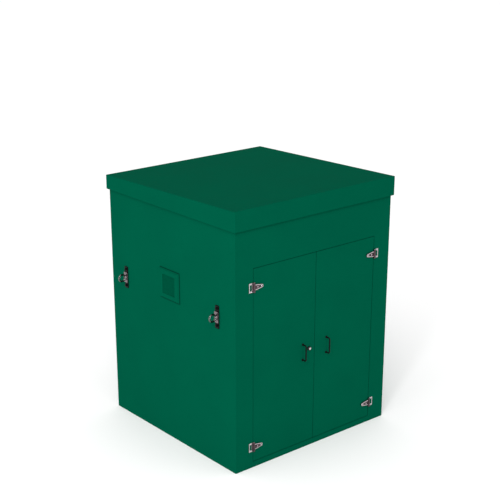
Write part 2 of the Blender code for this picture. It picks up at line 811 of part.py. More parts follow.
def risers():
    """The pipes from the ground to the valves."""
    for name, sign in (("inlet", -1), ("outlet", 1)):
        bend = arc((RISER_X - BEND_RADIUS, LINE_Z - BEND_RADIUS), BEND_RADIUS, 0, 90, 8)
        path = [(RISER_X, 0)] + bend + [(LINE_END, LINE_Z)]
        inside = [(RISER_X, -PIPE_RADIUS)] + bend + [(LINE_END - PIPE_RADIUS, LINE_Z)]
        fitting(
            f"{name}_riser",
            "copper",
            wire([(sign * x, 0, z) for x, z in path], PIPE_RADIUS),
            cuts=[wire([(sign * x, 0, z) for x, z in inside], PIPE_RADIUS - PIPE_WALL)],
        )


def stop_valves():
    """The two ball valves, their balls and their levers."""
    for name, sign in (("inlet", -1), ("outlet", 1)):
        x = sign * VALVE_X
        half = VALVE_LENGTH / 2
        joins = [
            rod((x + way * (half - VALVE_END_LENGTH), 0, LINE_Z), (x + way * half, 0, LINE_Z), VALVE_END, 8)
            for way in (-1, 1)
        ]
        joins += [rod((x, 0, LINE_Z), (x, 0, LINE_Z + STEM_BOSS_HEIGHT), STEM_BOSS, 16)]
        cuts = [
            rod((x - VALVE_LENGTH, 0, LINE_Z), (x + VALVE_LENGTH, 0, LINE_Z), BORE, 16),
            ball((x, 0, LINE_Z), BALL_RADIUS + BALL_CLEARANCE),
            rod((x, 0, LINE_Z), (x, 0, LINE_Z + STEM_TOP), STEM_RADIUS + RUN, 12),
        ]
        if name == "inlet":
            joins.append(cock_boss(x - half + VALVE_END_LENGTH / 2, VALVE_END, LINE_Z))
            cuts.append(cock_bore(x - half + VALVE_END_LENGTH / 2, LINE_Z))
        fitting(
            f"{name}_valve_body",
            "brass",
            rod((x - half + MM, 0, LINE_Z), (x + half - MM, 0, LINE_Z), VALVE_BARREL, 20),
            joins=[ball((x, 0, LINE_Z), VALVE_BODY)] + joins,
            cuts=cuts,
        )
        fitting(
            f"{name}_valve_ball",
            "bright_steel",
            ball((x, 0, LINE_Z), BALL_RADIUS),
            joins=[rod((x, 0, LINE_Z + BORE), (x, 0, LINE_Z + STEM_TOP), STEM_RADIUS, 12)],
            cuts=[rod((x - VALVE_LENGTH, 0, LINE_Z), (x + VALVE_LENGTH, 0, LINE_Z), BALL_BORE, 16)],
            origin=(x, 0, LINE_Z),
        )
        low = LINE_Z + STEM_BOSS_HEIGHT + SEAT
        out = sign * LEVER_LENGTH
        grip_y = LEVER_WIDTH / 2
        arm_x = sorted((x, x + out))
        fitting(
            f"{name}_valve_lever",
            "red_lever",
            box((arm_x[0], -grip_y, low), (arm_x[1], grip_y, low + LEVER), MM),
            joins=[rod((x, 0, low), (x, 0, low + LEVER), LEVER_HUB, 24)],
            cuts=[rod((x, 0, low - LEVER), (x, 0, low + 2 * LEVER), STEM_RADIUS + RUN, 12)],
            origin=(x, 0, low),
        )


def cock_boss(x, out, z):
    """The flat-faced boss that a test cock screws into."""
    return rod((x, -out * COCK_BOSS_ROOT, z), (x, -out - COCK_BOSS_REACH, z), COCK_BOSS, 14)


def cock_bore(x, z):
    """The small hole behind a test cock."""
    return rod((x, 0, z), (x, -VALVE_LENGTH, z), COCK_BORE, 8)


def stadium(half_length, radius, steps=10):
    """An outline with round ends in XY."""
    return arc((half_length, 0), radius, -90, 90, steps) + arc((-half_length, 0), radius, 90, 270, steps)


def valve_body():
    """The bronze body: inlet, two check chambers joined by the zone, outlet, and the relief port."""
    z = LINE_Z
    upper = z + GALLERY_HEIGHT
    tube = GALLERY + GALLERY_WALL
    deck = z + BARREL_TOP
    joins = [
        rod((sign * (BODY_HALF - VALVE_END_LENGTH), 0, z), (sign * BODY_HALF, 0, z), BODY_END, 8)
        for sign in (-1, 1)
    ]
    joins += [rod((x, 0, z - BARREL_BOTTOM), (x, 0, deck), BARREL_RADIUS, 24) for x in (-CHECK_X, CHECK_X)]
    joins += [
        rod((-CHECK_X, 0, upper), (OUTLET_DROP_X, 0, upper), tube, 16),
        rod((OUTLET_DROP_X, 0, z), (OUTLET_DROP_X, 0, upper + tube * MERGE), tube * MERGE, 16),
        rod((0, 0, z - ZONE_DROP), (0, 0, upper), ZONE_BOSS, 20),
        outline(stadium(CHECK_X, BARREL_RADIUS + COVER), deck - COVER, deck, "Z"),
        cock_boss(-CHECK_X - BARREL_RADIUS - COCK_BOSS, BODY_TUBE, z),
        cock_boss(0, BARREL_RADIUS, z - ZONE_COCK_RISE),
        cock_boss(OUTLET_DROP_X - COCK_BOSS, BODY_TUBE, z),
    ]
    cuts = [
        rod((-BODY_HALF - BORE, 0, z), (-CHECK_X, 0, z), BORE, 16),
        rod((0, 0, z), (CHECK_X, 0, z), CROSS_BORE, 16),
        rod((OUTLET_DROP_X - GALLERY, 0, z), (BODY_HALF + BORE, 0, z), BORE, 16),
        rod((-CHECK_X, 0, upper), (0, 0, upper), GALLERY, 14),
        rod((CHECK_X, 0, upper), (OUTLET_DROP_X, 0, upper), GALLERY, 14),
        rod((OUTLET_DROP_X, 0, z), (OUTLET_DROP_X, 0, upper + GALLERY / 2), GALLERY * MERGE, 14),
        rod((0, 0, z - ZONE_DROP - BORE), (0, 0, upper), ZONE_BORE, 14),
    ]
    for x in (-CHECK_X, CHECK_X):
        cuts.append(rod((x, 0, z), (x, 0, SEAT_Z + MM), SEAT_BORE, 16))
        cuts.append(rod((x, 0, SEAT_Z), (x, 0, deck + COVER), CHAMBER, 24))
    cuts += [
        cock_bore(-CHECK_X - BARREL_RADIUS - COCK_BOSS, z),
        cock_bore(0, z - ZONE_COCK_RISE),
        cock_bore(OUTLET_DROP_X - COCK_BOSS, z),
    ]
    fitting(
        "zone_valve_body",
        "bronze",
        rod((-BODY_HALF + MM, 0, z), (BODY_HALF - MM, 0, z), BODY_TUBE, 20),
        joins,
        cuts,
    )
    sockets = [
        rod((x, 0, COVER_Z - COVER_SOCKET_LENGTH), (x, 0, COVER_Z + COVER / 2), COVER_SOCKET, 20)
        for x in (-CHECK_X, CHECK_X)
    ]
    domes = [
        rod((x, 0, COVER_Z + COVER / 2), (x, 0, COVER_Z + 2 * COVER), CHAMBER, 24, DOME_TOP)
        for x in (-CHECK_X, CHECK_X)
    ]
    holes = [
        rod((x, 0, COVER_Z - COVER_SOCKET_LENGTH - COVER), (x, 0, COVER_Z + COVER), POPPET_STEM + RUN, 16)
        for x in (-CHECK_X, CHECK_X)
    ]
    fitting(
        "check_cover",
        "bronze",
        outline(stadium(CHECK_X, BARREL_RADIUS + COVER), COVER_Z, COVER_Z + COVER, "Z"),
        joins=sockets + domes,
        cuts=holes,
    )


def coil(x, y, low, high, radius, turns, wire_radius):
    """A compression spring between two heights."""
    steps = 10
    count = turns * steps
    low += wire_radius
    high -= wire_radius
    points = []
    for i in range(count + 1):
        angle = 2 * pi * i / steps
        points.append((x + radius * cos(angle), y + radius * sin(angle), low + (high - low) * i / count))
    return wire(points, wire_radius, 2)


def checks():
    """Each check's poppet on its seat, and the spring that closes it."""
    for name, x in (("first", -CHECK_X), ("second", CHECK_X)):
        low = SEAT_Z + SEAT
        top = COVER_Z - COVER_SOCKET_LENGTH + POPPET_TRAVEL
        fitting(
            f"{name}_check_poppet",
            "valve_plastic",
            turned(
                [
                    (0, top),
                    (POPPET_STEM, top),
                    (POPPET_STEM, low + POPPET),
                    (POPPET_RADIUS, low + POPPET),
                    (POPPET_RADIUS, low),
                    (0, low),
                ],
                (x, 0, 0),
                28,
            ),
            origin=(x, 0, low),
        )
        fitting(
            f"{name}_check_spring",
            "spring_steel",
            coil(x, 0, SPRING_START, COVER_Z - SEAT, SPRING_RADIUS, SPRING_TURNS, SPRING_WIRE),
        )


def relief_valve():
    """The relief valve under the zone: its body, its disc and stem, and the spring above the disc."""
    top = RELIEF_TOP
    seat = top - RELIEF_SEAT
    bottom = top - RELIEF_LENGTH
    fitting(
        "relief_valve_body",
        "bronze",
        rod((0, 0, bottom), (0, 0, top), RELIEF_RADIUS, 32),
        cuts=[
            rod((0, 0, seat - MM), (0, 0, top + RELIEF_BORE), RELIEF_BORE, 24),
            rod((0, 0, bottom + RELIEF_BASE), (0, 0, seat), RELIEF_CHAMBER, 28),
            rod((0, 0, bottom - RELIEF_BASE), (0, 0, bottom + RELIEF_BASE + MM), RELIEF_OUTLET, 24),
        ],
    )
    disc_top = seat - SEAT
    disc_low = disc_top - RELIEF_DISC_HEIGHT
    stem_top = top - RELIEF_BORE / 2
    fitting(
        "relief_valve_disc",
        "bright_steel",
        turned(
            [
                (0, stem_top),
                (RELIEF_STEM, stem_top),
                (RELIEF_STEM, disc_top),
                (RELIEF_DISC, disc_top),
                (RELIEF_DISC, disc_low),
                (0, disc_low),
            ],
            (0, 0, 0),
            24,
        ),
        origin=(0, 0, disc_top),
    )
    fitting(
        "relief_valve_spring",
        "spring_steel",
        coil(0, 0, disc_top + SEAT, top - SEAT, RELIEF_SPRING, SPRING_TURNS, SPRING_WIRE),
    )


def tundish():
    """The funnel below the air gap, with the drain that leaves through the floor."""
    top = TUNDISH_TOP
    low = top - TUNDISH_HEIGHT
    wall = TUNDISH_WALL
    fitting(
        "tundish",
        "drain_plastic",
        turned(
            [
                (TUNDISH_RADIUS - wall, top),
                (TUNDISH_RADIUS, top),
                (TUNDISH_RADIUS, top - TUNDISH_HEIGHT / 2),
                (DRAIN_RADIUS, low),
                (DRAIN_RADIUS, 0),
                (DRAIN_RADIUS - wall, 0),
                (DRAIN_RADIUS - wall, low),
                (TUNDISH_RADIUS - wall, top - TUNDISH_HEIGHT / 2 + wall / 2),
                (TUNDISH_RADIUS - wall, top),
            ],
            (0, 0, 0),
            24,
        ),
    )


def cock_places():
    """Each test cock's name, its place along the line, how far out its boss stands, and its height."""
    valve = -VALVE_X - VALVE_LENGTH / 2 + VALVE_END_LENGTH / 2
    return (
        ("supply", valve, VALVE_END, LINE_Z),
        ("inlet", -CHECK_X - BARREL_RADIUS - COCK_BOSS, BODY_TUBE, LINE_Z),
        ("zone", 0, BARREL_RADIUS, LINE_Z - ZONE_COCK_RISE),
        ("outlet", OUTLET_DROP_X - COCK_BOSS, BODY_TUBE, LINE_Z),
    )


def test_cocks():
    """Four test cocks, each a body on its boss and a slotted stem that a quarter turn opens."""
    for name, x, out, z in cock_places():
        start = -out - COCK_BOSS_REACH - SEAT
        end = start - COCK_LENGTH
        middle = (start + end) / 2
        fitting(
            f"{name}_test_cock",
            "brass",
            rod((x, start, z), (x, end, z), COCK_RADIUS, 16),
            joins=[
                rod((x, middle + COCK_HEX_HALF, z), (x, middle - COCK_HEX_HALF, z), COCK_HEX, 6),
                rod((x, middle, z), (x, middle, z + COCK_STEM_HEIGHT), COCK_NECK, 14),
            ],
            cuts=[
                rod((x, start + COCK_LENGTH, z), (x, end - COCK_LENGTH, z), COCK_BORE, 8),
                rod((x, middle, z - COCK_STEM), (x, middle, z + 2 * COCK_STEM_HEIGHT), COCK_STEM + RUN, 12),
            ],
        )
        top = z + COCK_STEM_HEIGHT + COCK_STEM
        fitting(
            f"{name}_test_cock_stem",
            "brass",
            rod((x, middle, z - COCK_STEM + SEAT), (x, middle, top), COCK_STEM, 12),
            cuts=[
                box(
                    (x - COCK_SLOT / 2, middle - 2 * COCK_STEM, top - COCK_STEM / 2),
                    (x + COCK_SLOT / 2, middle + 2 * COCK_STEM, top + COCK_STEM),
                ),
                rod((x - COCK_LENGTH, middle, z), (x + COCK_LENGTH, middle, z), COCK_STEM_BORE, 8),
            ],
            origin=(x, middle, z),
        )


cabinet()
door_seal()
doors()
bolts()
hinges()
handles()
lock()
lifting_points()
vent()
risers()
stop_valves()
valve_body()
checks()
relief_valve()
tundish()
test_cocks()
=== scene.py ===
"""The looks of a backflow preventer station: a green moulded cabinet round a reduced pressure zone valve.

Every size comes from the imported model's own boxes, in metres, and every piece rides on one of its bodies.
"""

import json
import logging
from dataclasses import dataclass
from enum import Enum
from math import asin, cos, pi, radians, sin, sqrt
from typing import Any, Iterable, Sequence

import bmesh
import bpy
from mathutils import Matrix, Vector


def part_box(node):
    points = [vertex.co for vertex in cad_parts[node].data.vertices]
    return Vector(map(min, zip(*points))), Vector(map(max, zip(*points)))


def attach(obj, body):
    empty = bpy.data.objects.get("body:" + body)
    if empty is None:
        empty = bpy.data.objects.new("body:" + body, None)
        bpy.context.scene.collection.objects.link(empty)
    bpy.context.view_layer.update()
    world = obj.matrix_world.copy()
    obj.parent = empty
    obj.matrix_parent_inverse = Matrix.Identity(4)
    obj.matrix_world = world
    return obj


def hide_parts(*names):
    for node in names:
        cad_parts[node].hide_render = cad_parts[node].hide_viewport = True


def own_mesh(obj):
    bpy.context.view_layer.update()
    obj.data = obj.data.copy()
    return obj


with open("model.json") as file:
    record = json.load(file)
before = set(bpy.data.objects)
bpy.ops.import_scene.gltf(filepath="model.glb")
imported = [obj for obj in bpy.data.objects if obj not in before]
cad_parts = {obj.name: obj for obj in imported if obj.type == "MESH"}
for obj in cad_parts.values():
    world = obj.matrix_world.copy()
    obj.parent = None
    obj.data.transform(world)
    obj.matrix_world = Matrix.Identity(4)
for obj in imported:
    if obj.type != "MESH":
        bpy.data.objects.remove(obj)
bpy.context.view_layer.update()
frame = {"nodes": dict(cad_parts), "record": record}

MM = 0.001
SMOOTH_ANGLE = radians(35)
GAP = 0.3 * MM
# The noise's usual spread, stretched to the whole of a colour's or a roughness's range.
PATCH_RANGE = (0.35, 0.7)
GRAIN_RANGE = (0.3, 0.7)
# How wide the rim round a dished face is, for its depth; the rim takes the edge finish, which on the straps
# is a brighter steel that paints a highlight.
RIM_WIDTH = 2.2
# Hairlines are about eight times as long as they are wide.
HAIRLINE_SCALE = (1.0, 1.0, 0.12)
# Directions: across the doors, towards the back, towards the front, and up.
ACROSS = Vector((1, 0, 0)).freeze()
BACK = Vector((0, 1, 0)).freeze()
FRONT = Vector((0, -1, 0)).freeze()
UP = Vector((0, 0, 1)).freeze()
log = logging.getLogger("station")

Point = Sequence[float]
Profile = list[tuple[float, float]]


# ---------------------------------------------------------------- materials


def linear(hex_colour: str) -> tuple[float, float, float, float]:
    """Turns an sRGB hex colour to linear.

    Args:
        hex_colour: Six hex digits with a leading #.

    Returns:
        Linear red, green and blue, and an alpha of 1.
    """
    channels = [int(hex_colour[i : i + 2], 16) / 255 for i in (1, 3, 5)]
    turned = [c / 12.92 if c <= 0.04045 else ((c + 0.055) / 1.055) ** 2.4 for c in channels]
    return turned[0], turned[1], turned[2], 1.0


def add_node(
    tree: bpy.types.NodeTree, kind: str, inputs: dict[str | int, Any] | None = None, **settings: Any
) -> Any:
    """Adds a node with its settings and links.

    Args:
        tree: The node tree it goes in.
        kind: The node's type, as its identifier says.
        inputs: Each input's value, or the socket that feeds it.
        **settings: The node's own properties.

    Returns:
        The node.
    """
    made = tree.nodes.new(kind)
    for name, value in settings.items():
        setattr(made, name, value)
    for key, value in (inputs or {}).items():
        if isinstance(value, bpy.types.NodeSocket):
            tree.links.new(value, made.inputs[key])
        else:
            made.inputs[key].default_value = value
    return made


def noise(
    tree: bpy.types.NodeTree, place: bpy.types.NodeSocket, size: float, detail: float, roughness: float
) -> bpy.types.NodeSocket:
    """A noise whose features are about this many millimetres across.

    Args:
        tree: The node tree it goes in.
        place: The coordinates.
        size: Size of its features in millimetres.
        detail: How many finer layers it has.
        roughness: How strong the finer layers are.

    Returns:
        Its value.
    """
    inputs = {"Vector": place, "Scale": 1 / (size * MM), "Detail": detail, "Roughness": roughness}
    return add_node(tree, "ShaderNodeTexNoise", inputs).outputs["Fac"]


def remap(
    tree: bpy.types.NodeTree,
    value: bpy.types.NodeSocket,
    source: tuple[float, float],
    target: tuple[float, float],
) -> bpy.types.NodeSocket:
    """A value moved from one range to another.

    Args:
        tree: The node tree it goes in.
        value: The value.
        source: The range that it has.
        target: The range that it gets.

    Returns:
        The moved value, held inside its new range.
    """
    keys = ("From Min", "From Max", "To Min", "To Max")
    inputs = {"Value": value, **dict(zip(keys, (*source, *target)))}
    return add_node(tree, "ShaderNodeMapRange", inputs).outputs["Result"]


class Process(Enum):
    """How a surface was made, which decides the marks it carries."""

    MOULDED = "moulded"
    POLISHED = "polished"
    CAST = "cast"
    DRAWN = "drawn"
    COATED = "coated"


@dataclass(frozen=True)
class Finish:
    """One real finish, built as a node material.

    Attributes:
        slot: The record's material slot.
        process: How the surface was made.
        colour: Its main colour.
        second: The colour of its cloudiness, tarnish or wear.
        blend: How much of the second colour shows, from 0 to 1.
        patch: Size of the colour's patches in millimetres.
        roughness: Typical roughness.
        roughness_spread: How far the roughness varies about it.
        grain: Size of the bump's grain in millimetres.
        relief: Height of the bump in millimetres.
        metallic: 1 for bare metal.
        specular: Strength of the reflection of a surface that isn't metal.
    """

    slot: str
    process: Process
    colour: str
    second: str
    blend: float
    patch: float
    roughness: float
    roughness_spread: float
    grain: float
    relief: float
    metallic: float = 0.0
    specular: float = 0.5

    def build(self, name: str) -> bpy.types.Material:
        """Makes the material.

        Args:
            name: The material's name.

        Returns:
            The node material, on Object coordinates.
        """
        material = bpy.data.materials.new(name)
        material.use_nodes = True
        tree = material.node_tree
        shader = tree.nodes["Principled BSDF"]
        shader.inputs["Metallic"].default_value = self.metallic
        shader.inputs["Specular IOR Level"].default_value = self.specular
        place = add_node(tree, "ShaderNodeTexCoord").outputs["Object"]
        patches = noise(tree, place, self.patch, detail=5.0, roughness=0.55)
        cloud = remap(tree, patches, PATCH_RANGE, (0.0, self.blend))
        ramp = add_node(tree, "ShaderNodeValToRGB", {"Fac": cloud})
        ramp.color_ramp.elements[0].color = linear(self.colour)
        ramp.color_ramp.elements[1].color = linear(self.second)
        tree.links.new(ramp.outputs["Color"], shader.inputs["Base Color"])
        grain = noise(tree, self.stretch(tree, place), self.grain, detail=3.0, roughness=0.5)
        uneven = patches if self.process is Process.MOULDED else grain
        spread = (self.roughness - self.roughness_spread, self.roughness + self.roughness_spread)
        tree.links.new(remap(tree, uneven, GRAIN_RANGE, spread), shader.inputs["Roughness"])
        height = {"Height": grain, "Distance": self.relief * MM, "Strength": 1.0}
        bump = add_node(tree, "ShaderNodeBump", height)
        tree.links.new(bump.outputs["Normal"], shader.inputs["Normal"])
        return material

    def stretch(self, tree: bpy.types.NodeTree, place: bpy.types.NodeSocket) -> bpy.types.NodeSocket:
        """Draws the grain out along Z where the surface was drawn or polished that way.

        Args:
            tree: The node tree.
            place: The coordinates.

        Returns:
            The coordinates, drawn out or as they were.
        """
        if self.process not in (Process.DRAWN, Process.POLISHED):
            return place
        mapping = add_node(tree, "ShaderNodeMapping", {"Vector": place, "Scale": HAIRLINE_SCALE})
        return mapping.outputs["Vector"]


# Gelcoat from a polished mould: an even satin skin with a faint long waviness.
GELCOAT = Finish(
    "green_moulding", Process.MOULDED, colour="#004C37", second="#004F39", blend=0.8, patch=260,
    roughness=0.55, roughness_spread=0.03, grain=55, relief=0.05, specular=0.0006,
)
# Flowcoat brushed inside a laminate: pale, waxy and uneven.
FLOWCOAT = Finish(
    "green_moulding", Process.MOULDED, colour="#B9BDB6", second="#A9AEA6", blend=0.8, patch=60,
    roughness=0.5, roughness_spread=0.08, grain=9, relief=0.25,
)
# Laminate board for the floor: pressed and gritty, for grip.
BOARD = Finish(
    "floor_board", Process.CAST, colour="#8B8D88", second="#767873", blend=0.8, patch=40, roughness=0.75,
    roughness_spread=0.08, grain=2.2, relief=0.4,
)
# Stainless steel, polished: bright, with hairlines; on the straps' rounded edges and rims, beside their
# darkened faces, it paints a highlight.
STEEL = Finish(
    "bright_steel", Process.POLISHED, colour="#C4BABE", second="#B0A6AA", blend=0.6, patch=18,
    roughness=0.18, roughness_spread=0.07, metallic=1.0, grain=0.5, relief=0.008,
)
# Stainless steel as rolled and brushed, with a faint warm cast, its colour darkened to paint shade: the
# straps' faces between their painted highlights, the knuckles in the gap between leaf and strap, and the
# lock's housing round its painted highlight.
BRUSHED_PAINTED_SHADE = Finish(
    "bright_steel", Process.POLISHED, colour="#54464A", second="#473B3F", blend=0.7, patch=14,
    roughness=0.3, roughness_spread=0.07, metallic=1.0, grain=0.6, relief=0.012,
)
# Stainless steel with a satin grain, between the other two, its colour darkened to paint a dark reflection on
# the eye plates.
SATIN_PAINTED_REFLECTION = Finish(
    "bright_steel", Process.POLISHED, colour="#83757A", second="#75686D", blend=0.6, patch=14,
    roughness=0.26, roughness_spread=0.06, metallic=1.0, grain=0.6, relief=0.01,
)
# Chromium plate, with almost no grain, its colour raised above real chromium so that the lock's plug paints
# the lock's highlight: the brightest metal here.
CHROME_PAINTED_HIGHLIGHT = Finish(
    "bright_steel", Process.POLISHED, colour="#E4DFE0", second="#D2CCCE", blend=0.5, patch=9,
    roughness=0.1, roughness_spread=0.04, metallic=1.0, grain=0.8, relief=0.003,
)
# Stainless steel, mirror polished, for the forged rings, its colour darkened and tinted green to paint a
# reflection of the green cabinet; the sharp highlights come from the lamps.
MIRROR_PAINTED_REFLECTION = Finish(
    "bright_steel", Process.POLISHED, colour="#5C625F", second="#505653", blend=0.5, patch=12,
    roughness=0.1, roughness_spread=0.04, metallic=1.0, grain=0.8, relief=0.004,
)
# Powder coat, satin black: a fine orange peel.
BLACK = Finish(
    "black_coated_steel", Process.COATED, colour="#090909", second="#111010", blend=0.7, patch=20,
    roughness=0.42, roughness_spread=0.05, grain=1.6, relief=0.03, specular=0.08,
)
# Zinc plate: dull, blue-grey, with pale bloom.
ZINC = Finish(
    "galvanised_steel", Process.CAST, colour="#A3A7AA", second="#8C9196", blend=0.8, patch=12,
    roughness=0.38, roughness_spread=0.1, metallic=1.0, grain=3, relief=0.02,
)
# Closed-cell rubber: matt black with fine pores.
RUBBER = Finish(
    "seal_rubber", Process.MOULDED, colour="#161616", second="#1F1F1E", blend=0.6, patch=15,
    roughness=0.8, roughness_spread=0.05, grain=0.9, relief=0.06,
)
# Sealant, tooled wet: satin, its dark green also painting the shadow line round the vent's frame.
SEALANT_PAINTED_SHADOW = Finish(
    "seal_rubber", Process.MOULDED, colour="#00291E", second="#003023", blend=0.6, patch=15,
    roughness=0.6, roughness_spread=0.05, grain=3, relief=0.03, specular=0.01,
)
# Bronze from a sand mould: brown, with sand grain and darker hollows.
BRONZE = Finish(
    "bronze", Process.CAST, colour="#A9793F", second="#7B5730", blend=0.8, patch=30, roughness=0.46,
    roughness_spread=0.1, metallic=1.0, grain=1.8, relief=0.12,
)
# Brass under nickel plate: a pale grey, faintly warm.
NICKEL = Finish(
    "brass", Process.POLISHED, colour="#827A76", second="#746C68", blend=0.6, patch=6, roughness=0.2,
    roughness_spread=0.06, metallic=1.0, grain=0.5, relief=0.006,
)
# Brass, machined and handled: warm, with dull patches.
BRASS = Finish(
    "brass", Process.POLISHED, colour="#C79A4B", second="#A37B38", blend=0.7, patch=14, roughness=0.28,
    roughness_spread=0.08, metallic=1.0, grain=0.7, relief=0.01,
)
# Copper tube, drawn: pinkish, tarnished brown in clouds.
COPPER = Finish(
    "copper", Process.DRAWN, colour="#B8704A", second="#8A5237", blend=0.85, patch=45, roughness=0.32,
    roughness_spread=0.09, metallic=1.0, grain=1.2, relief=0.012,
)
# Vinyl dip over a steel lever: soft, thick and red.
RED_VINYL = Finish(
    "red_lever", Process.COATED, colour="#A3140F", second="#8B0F0C", blend=0.7, patch=25, roughness=0.4,
    roughness_spread=0.06, grain=4, relief=0.05,
)
# Patented spring wire: bright grey.
WIRE = Finish(
    "spring_steel", Process.DRAWN, colour="#B2B2B0", second="#94948F", blend=0.6, patch=8,
    roughness=0.25, roughness_spread=0.06, metallic=1.0, grain=0.6, relief=0.006,
)
# Acetal: smooth, waxy black moulding.
ACETAL = Finish(
    "valve_plastic", Process.MOULDED, colour="#1C1C1E", second="#262628", blend=0.6, patch=12,
    roughness=0.4, roughness_spread=0.05, grain=3, relief=0.02,
)
# Drain fitting plastic: mid grey, satin.
DRAIN = Finish(
    "drain_plastic", Process.MOULDED, colour="#7E8184", second="#707376", blend=0.6, patch=25,
    roughness=0.45, roughness_spread=0.05, grain=4, relief=0.02,
)

FINISHES = {
    "gelcoat": GELCOAT,
    "flowcoat": FLOWCOAT,
    "laminate_board": BOARD,
    "polished_stainless": STEEL,
    "brushed_stainless_painted_shade": BRUSHED_PAINTED_SHADE,
    "satin_stainless_painted_reflection": SATIN_PAINTED_REFLECTION,
    "chromium_plate_painted_highlight": CHROME_PAINTED_HIGHLIGHT,
    "mirror_stainless_painted_reflection": MIRROR_PAINTED_REFLECTION,
    "black_powder_coat": BLACK,
    "zinc_plate": ZINC,
    "cellular_rubber": RUBBER,
    "sealant": SEALANT_PAINTED_SHADOW,
    "sand_cast_bronze": BRONZE,
    "nickel_plate": NICKEL,
    "machined_brass": BRASS,
    "drawn_copper": COPPER,
    "dipped_vinyl": RED_VINYL,
    "spring_wire": WIRE,
    "acetal": ACETAL,
    "drain_plastic": DRAIN,
}
MATERIALS = {finish: finish.build(name) for name, finish in FINISHES.items()}


# ---------------------------------------------------------------- modelling


class Model:
    """A bmesh under construction, with the shapes that this object's pieces start from."""

    def __init__(self) -> None:
        """Starts empty."""
        self.bm = bmesh.new()

    def take(self, other: bmesh.types.BMesh, matrix: Matrix | None = None) -> None:
        """Adds another bmesh to this one and frees it.

        Args:
            other: The bmesh.
            matrix: How it is moved first, if it is.
        """
        if matrix is not None:
            bmesh.ops.transform(other, matrix=matrix, verts=other.verts)
        mesh = bpy.data.meshes.new("scratch")
        other.to_mesh(mesh)
        other.free()
        self.bm.from_mesh(mesh)
        bpy.data.meshes.remove(mesh)

    def block(self, low: Point, high: Point, edge: float = 0.0, segments: int = 3) -> None:
        """A box between two corners with rounded edges.

        Args:
            low: One corner.
            high: The other corner.
            edge: Radius of the edges, in metres.
            segments: Steps round each edge.
        """
        a, b = Vector(low), Vector(high)
        low_v = Vector(map(min, a, b))
        size = Vector(map(abs, b - a))
        bm = bmesh.new()
        bmesh.ops.create_cube(bm, size=1)
        bmesh.ops.transform(bm, matrix=Matrix.Diagonal((*size, 1)), verts=bm.verts)
        if edge:
            round_edges(bm, bm.edges[:], min(edge, min(size) * 0.45), segments)
        self.take(bm, Matrix.Translation(low_v + size / 2))

    def turn(self, profile: Profile, at: Point, axis: Point = (0, 0, 1), sides: int = 48) -> None:
        """A shape spun about an axis from radius and height pairs.

        Args:
            profile: Radius and height along the axis, from one end to the other.
            at: Where height 0 lies.
            axis: The direction of height.
            sides: Steps round the axis.
        """
        bm = bmesh.new()
        verts = [bm.verts.new((r, 0, z)) for r, z in profile]
        edges = [bm.edges.new(pair) for pair in zip(verts, verts[1:])]
        bmesh.ops.spin(
            bm, geom=verts + edges, cent=(0, 0, 0), axis=(0, 0, 1), angle=2 * pi, steps=sides, use_merge=True,
        )
        bmesh.ops.remove_doubles(bm, verts=bm.verts, dist=1e-6)
        bmesh.ops.recalc_face_normals(bm, faces=bm.faces)
        self.take(bm, facing(at, axis))

    def rod(self, start: Point, end: Point, radius: float, edge: float = 0.0, sides: int = 40) -> None:
        """A round bar between two points with chamfered ends.

        Args:
            start: The middle of one end.
            end: The middle of the other end.
            radius: Its radius.
            edge: Radius of its end edges.
            sides: Steps round it.
        """
        a, b = Vector(start), Vector(end)
        length = (b - a).length
        edge = min(edge, length * 0.4, radius * 0.8)
        profile: Profile = [(0, 0)]
        profile += rounded(radius, 0, edge, 1)[::-1] if edge else [(radius, 0)]
        profile += rounded(radius, length, edge, -1) if edge else [(radius, length)]
        profile.append((0, length))
        self.turn(profile, a, b - a, sides)

    def prism(
        self, at: Point, axis: Point, across: float, height: float, sides: int = 6, edge: float = 0.3 * MM
    ) -> None:
        """A nut or bolt head: a prism of the given width across its flats, its edges eased.

        Args:
            at: The middle of its lower face.
            axis: The direction of its height.
            across: Width across its flats.
            height: Its height.
            sides: How many flats it has.
            edge: Radius of its edges.
        """
        bm = bmesh.new()
        bmesh.ops.create_cone(
            bm,
            cap_ends=True,
            segments=sides,
            radius1=across / 2 / cos(pi / sides),
            radius2=across / 2 / cos(pi / sides),
            depth=height,
        )
        round_edges(bm, bm.edges[:], edge, 2)
        self.take(bm, facing(at, axis) @ Matrix.Translation((0, 0, height / 2)))

    def ring(self, at: Point, axis: Point, radius: float, wire: float) -> None:
        """A torus about an axis.

        Args:
            at: Its centre.
            axis: The direction of its axis.
            radius: From the centre to the middle of the wire.
            wire: The wire's radius.
        """
        steps = 20
        turns = [2 * pi * i / steps for i in range(steps + 1)]
        self.turn([(radius + wire * cos(a), wire * sin(a)) for a in turns], at, axis, 56)

    def plate(
        self,
        outline: Iterable[Point],
        thickness: Vector,
        edge: float = 0.0,
        segments: int = 2,
        recess: float = 0.0,
    ) -> None:
        """A flat outline drawn out by a vector, its rims rounded.

        Args:
            outline: The outline's corners in order.
            thickness: How far and which way it is drawn out.
            edge: Radius of its rims.
            segments: Steps round each rim.
            recess: Depth of the dished middle of its drawn face, or 0.
        """
        bm = bmesh.new()
        face = bm.faces.new([bm.verts.new(p) for p in outline])
        raised = bmesh.ops.extrude_face_region(bm, geom=[face])
        moved = [g for g in raised["geom"] if isinstance(g, bmesh.types.BMVert)]
        bmesh.ops.translate(bm, vec=thickness, verts=moved)
        bmesh.ops.recalc_face_normals(bm, faces=bm.faces)
        way = thickness.normalized()
        rims = [e for e in bm.edges if abs((e.verts[0].co - e.verts[1].co).normalized().dot(way)) < 0.5]
        if edge:
            round_edges(bm, rims, edge, segments)
        # The rim round the dish takes the edge finish too: on the straps, a painted highlight round the dark
        # middle.
        if recess:
            top = [f for f in bm.faces if f.normal.dot(way) > 0.99]
            rim = bmesh.ops.inset_region(bm, faces=top, thickness=RIM_WIDTH * recess, depth=0)
            bmesh.ops.inset_region(bm, faces=top, thickness=recess, depth=-recess)
            for face in rim["faces"]:
                face.material_index = 1
        self.take(bm)

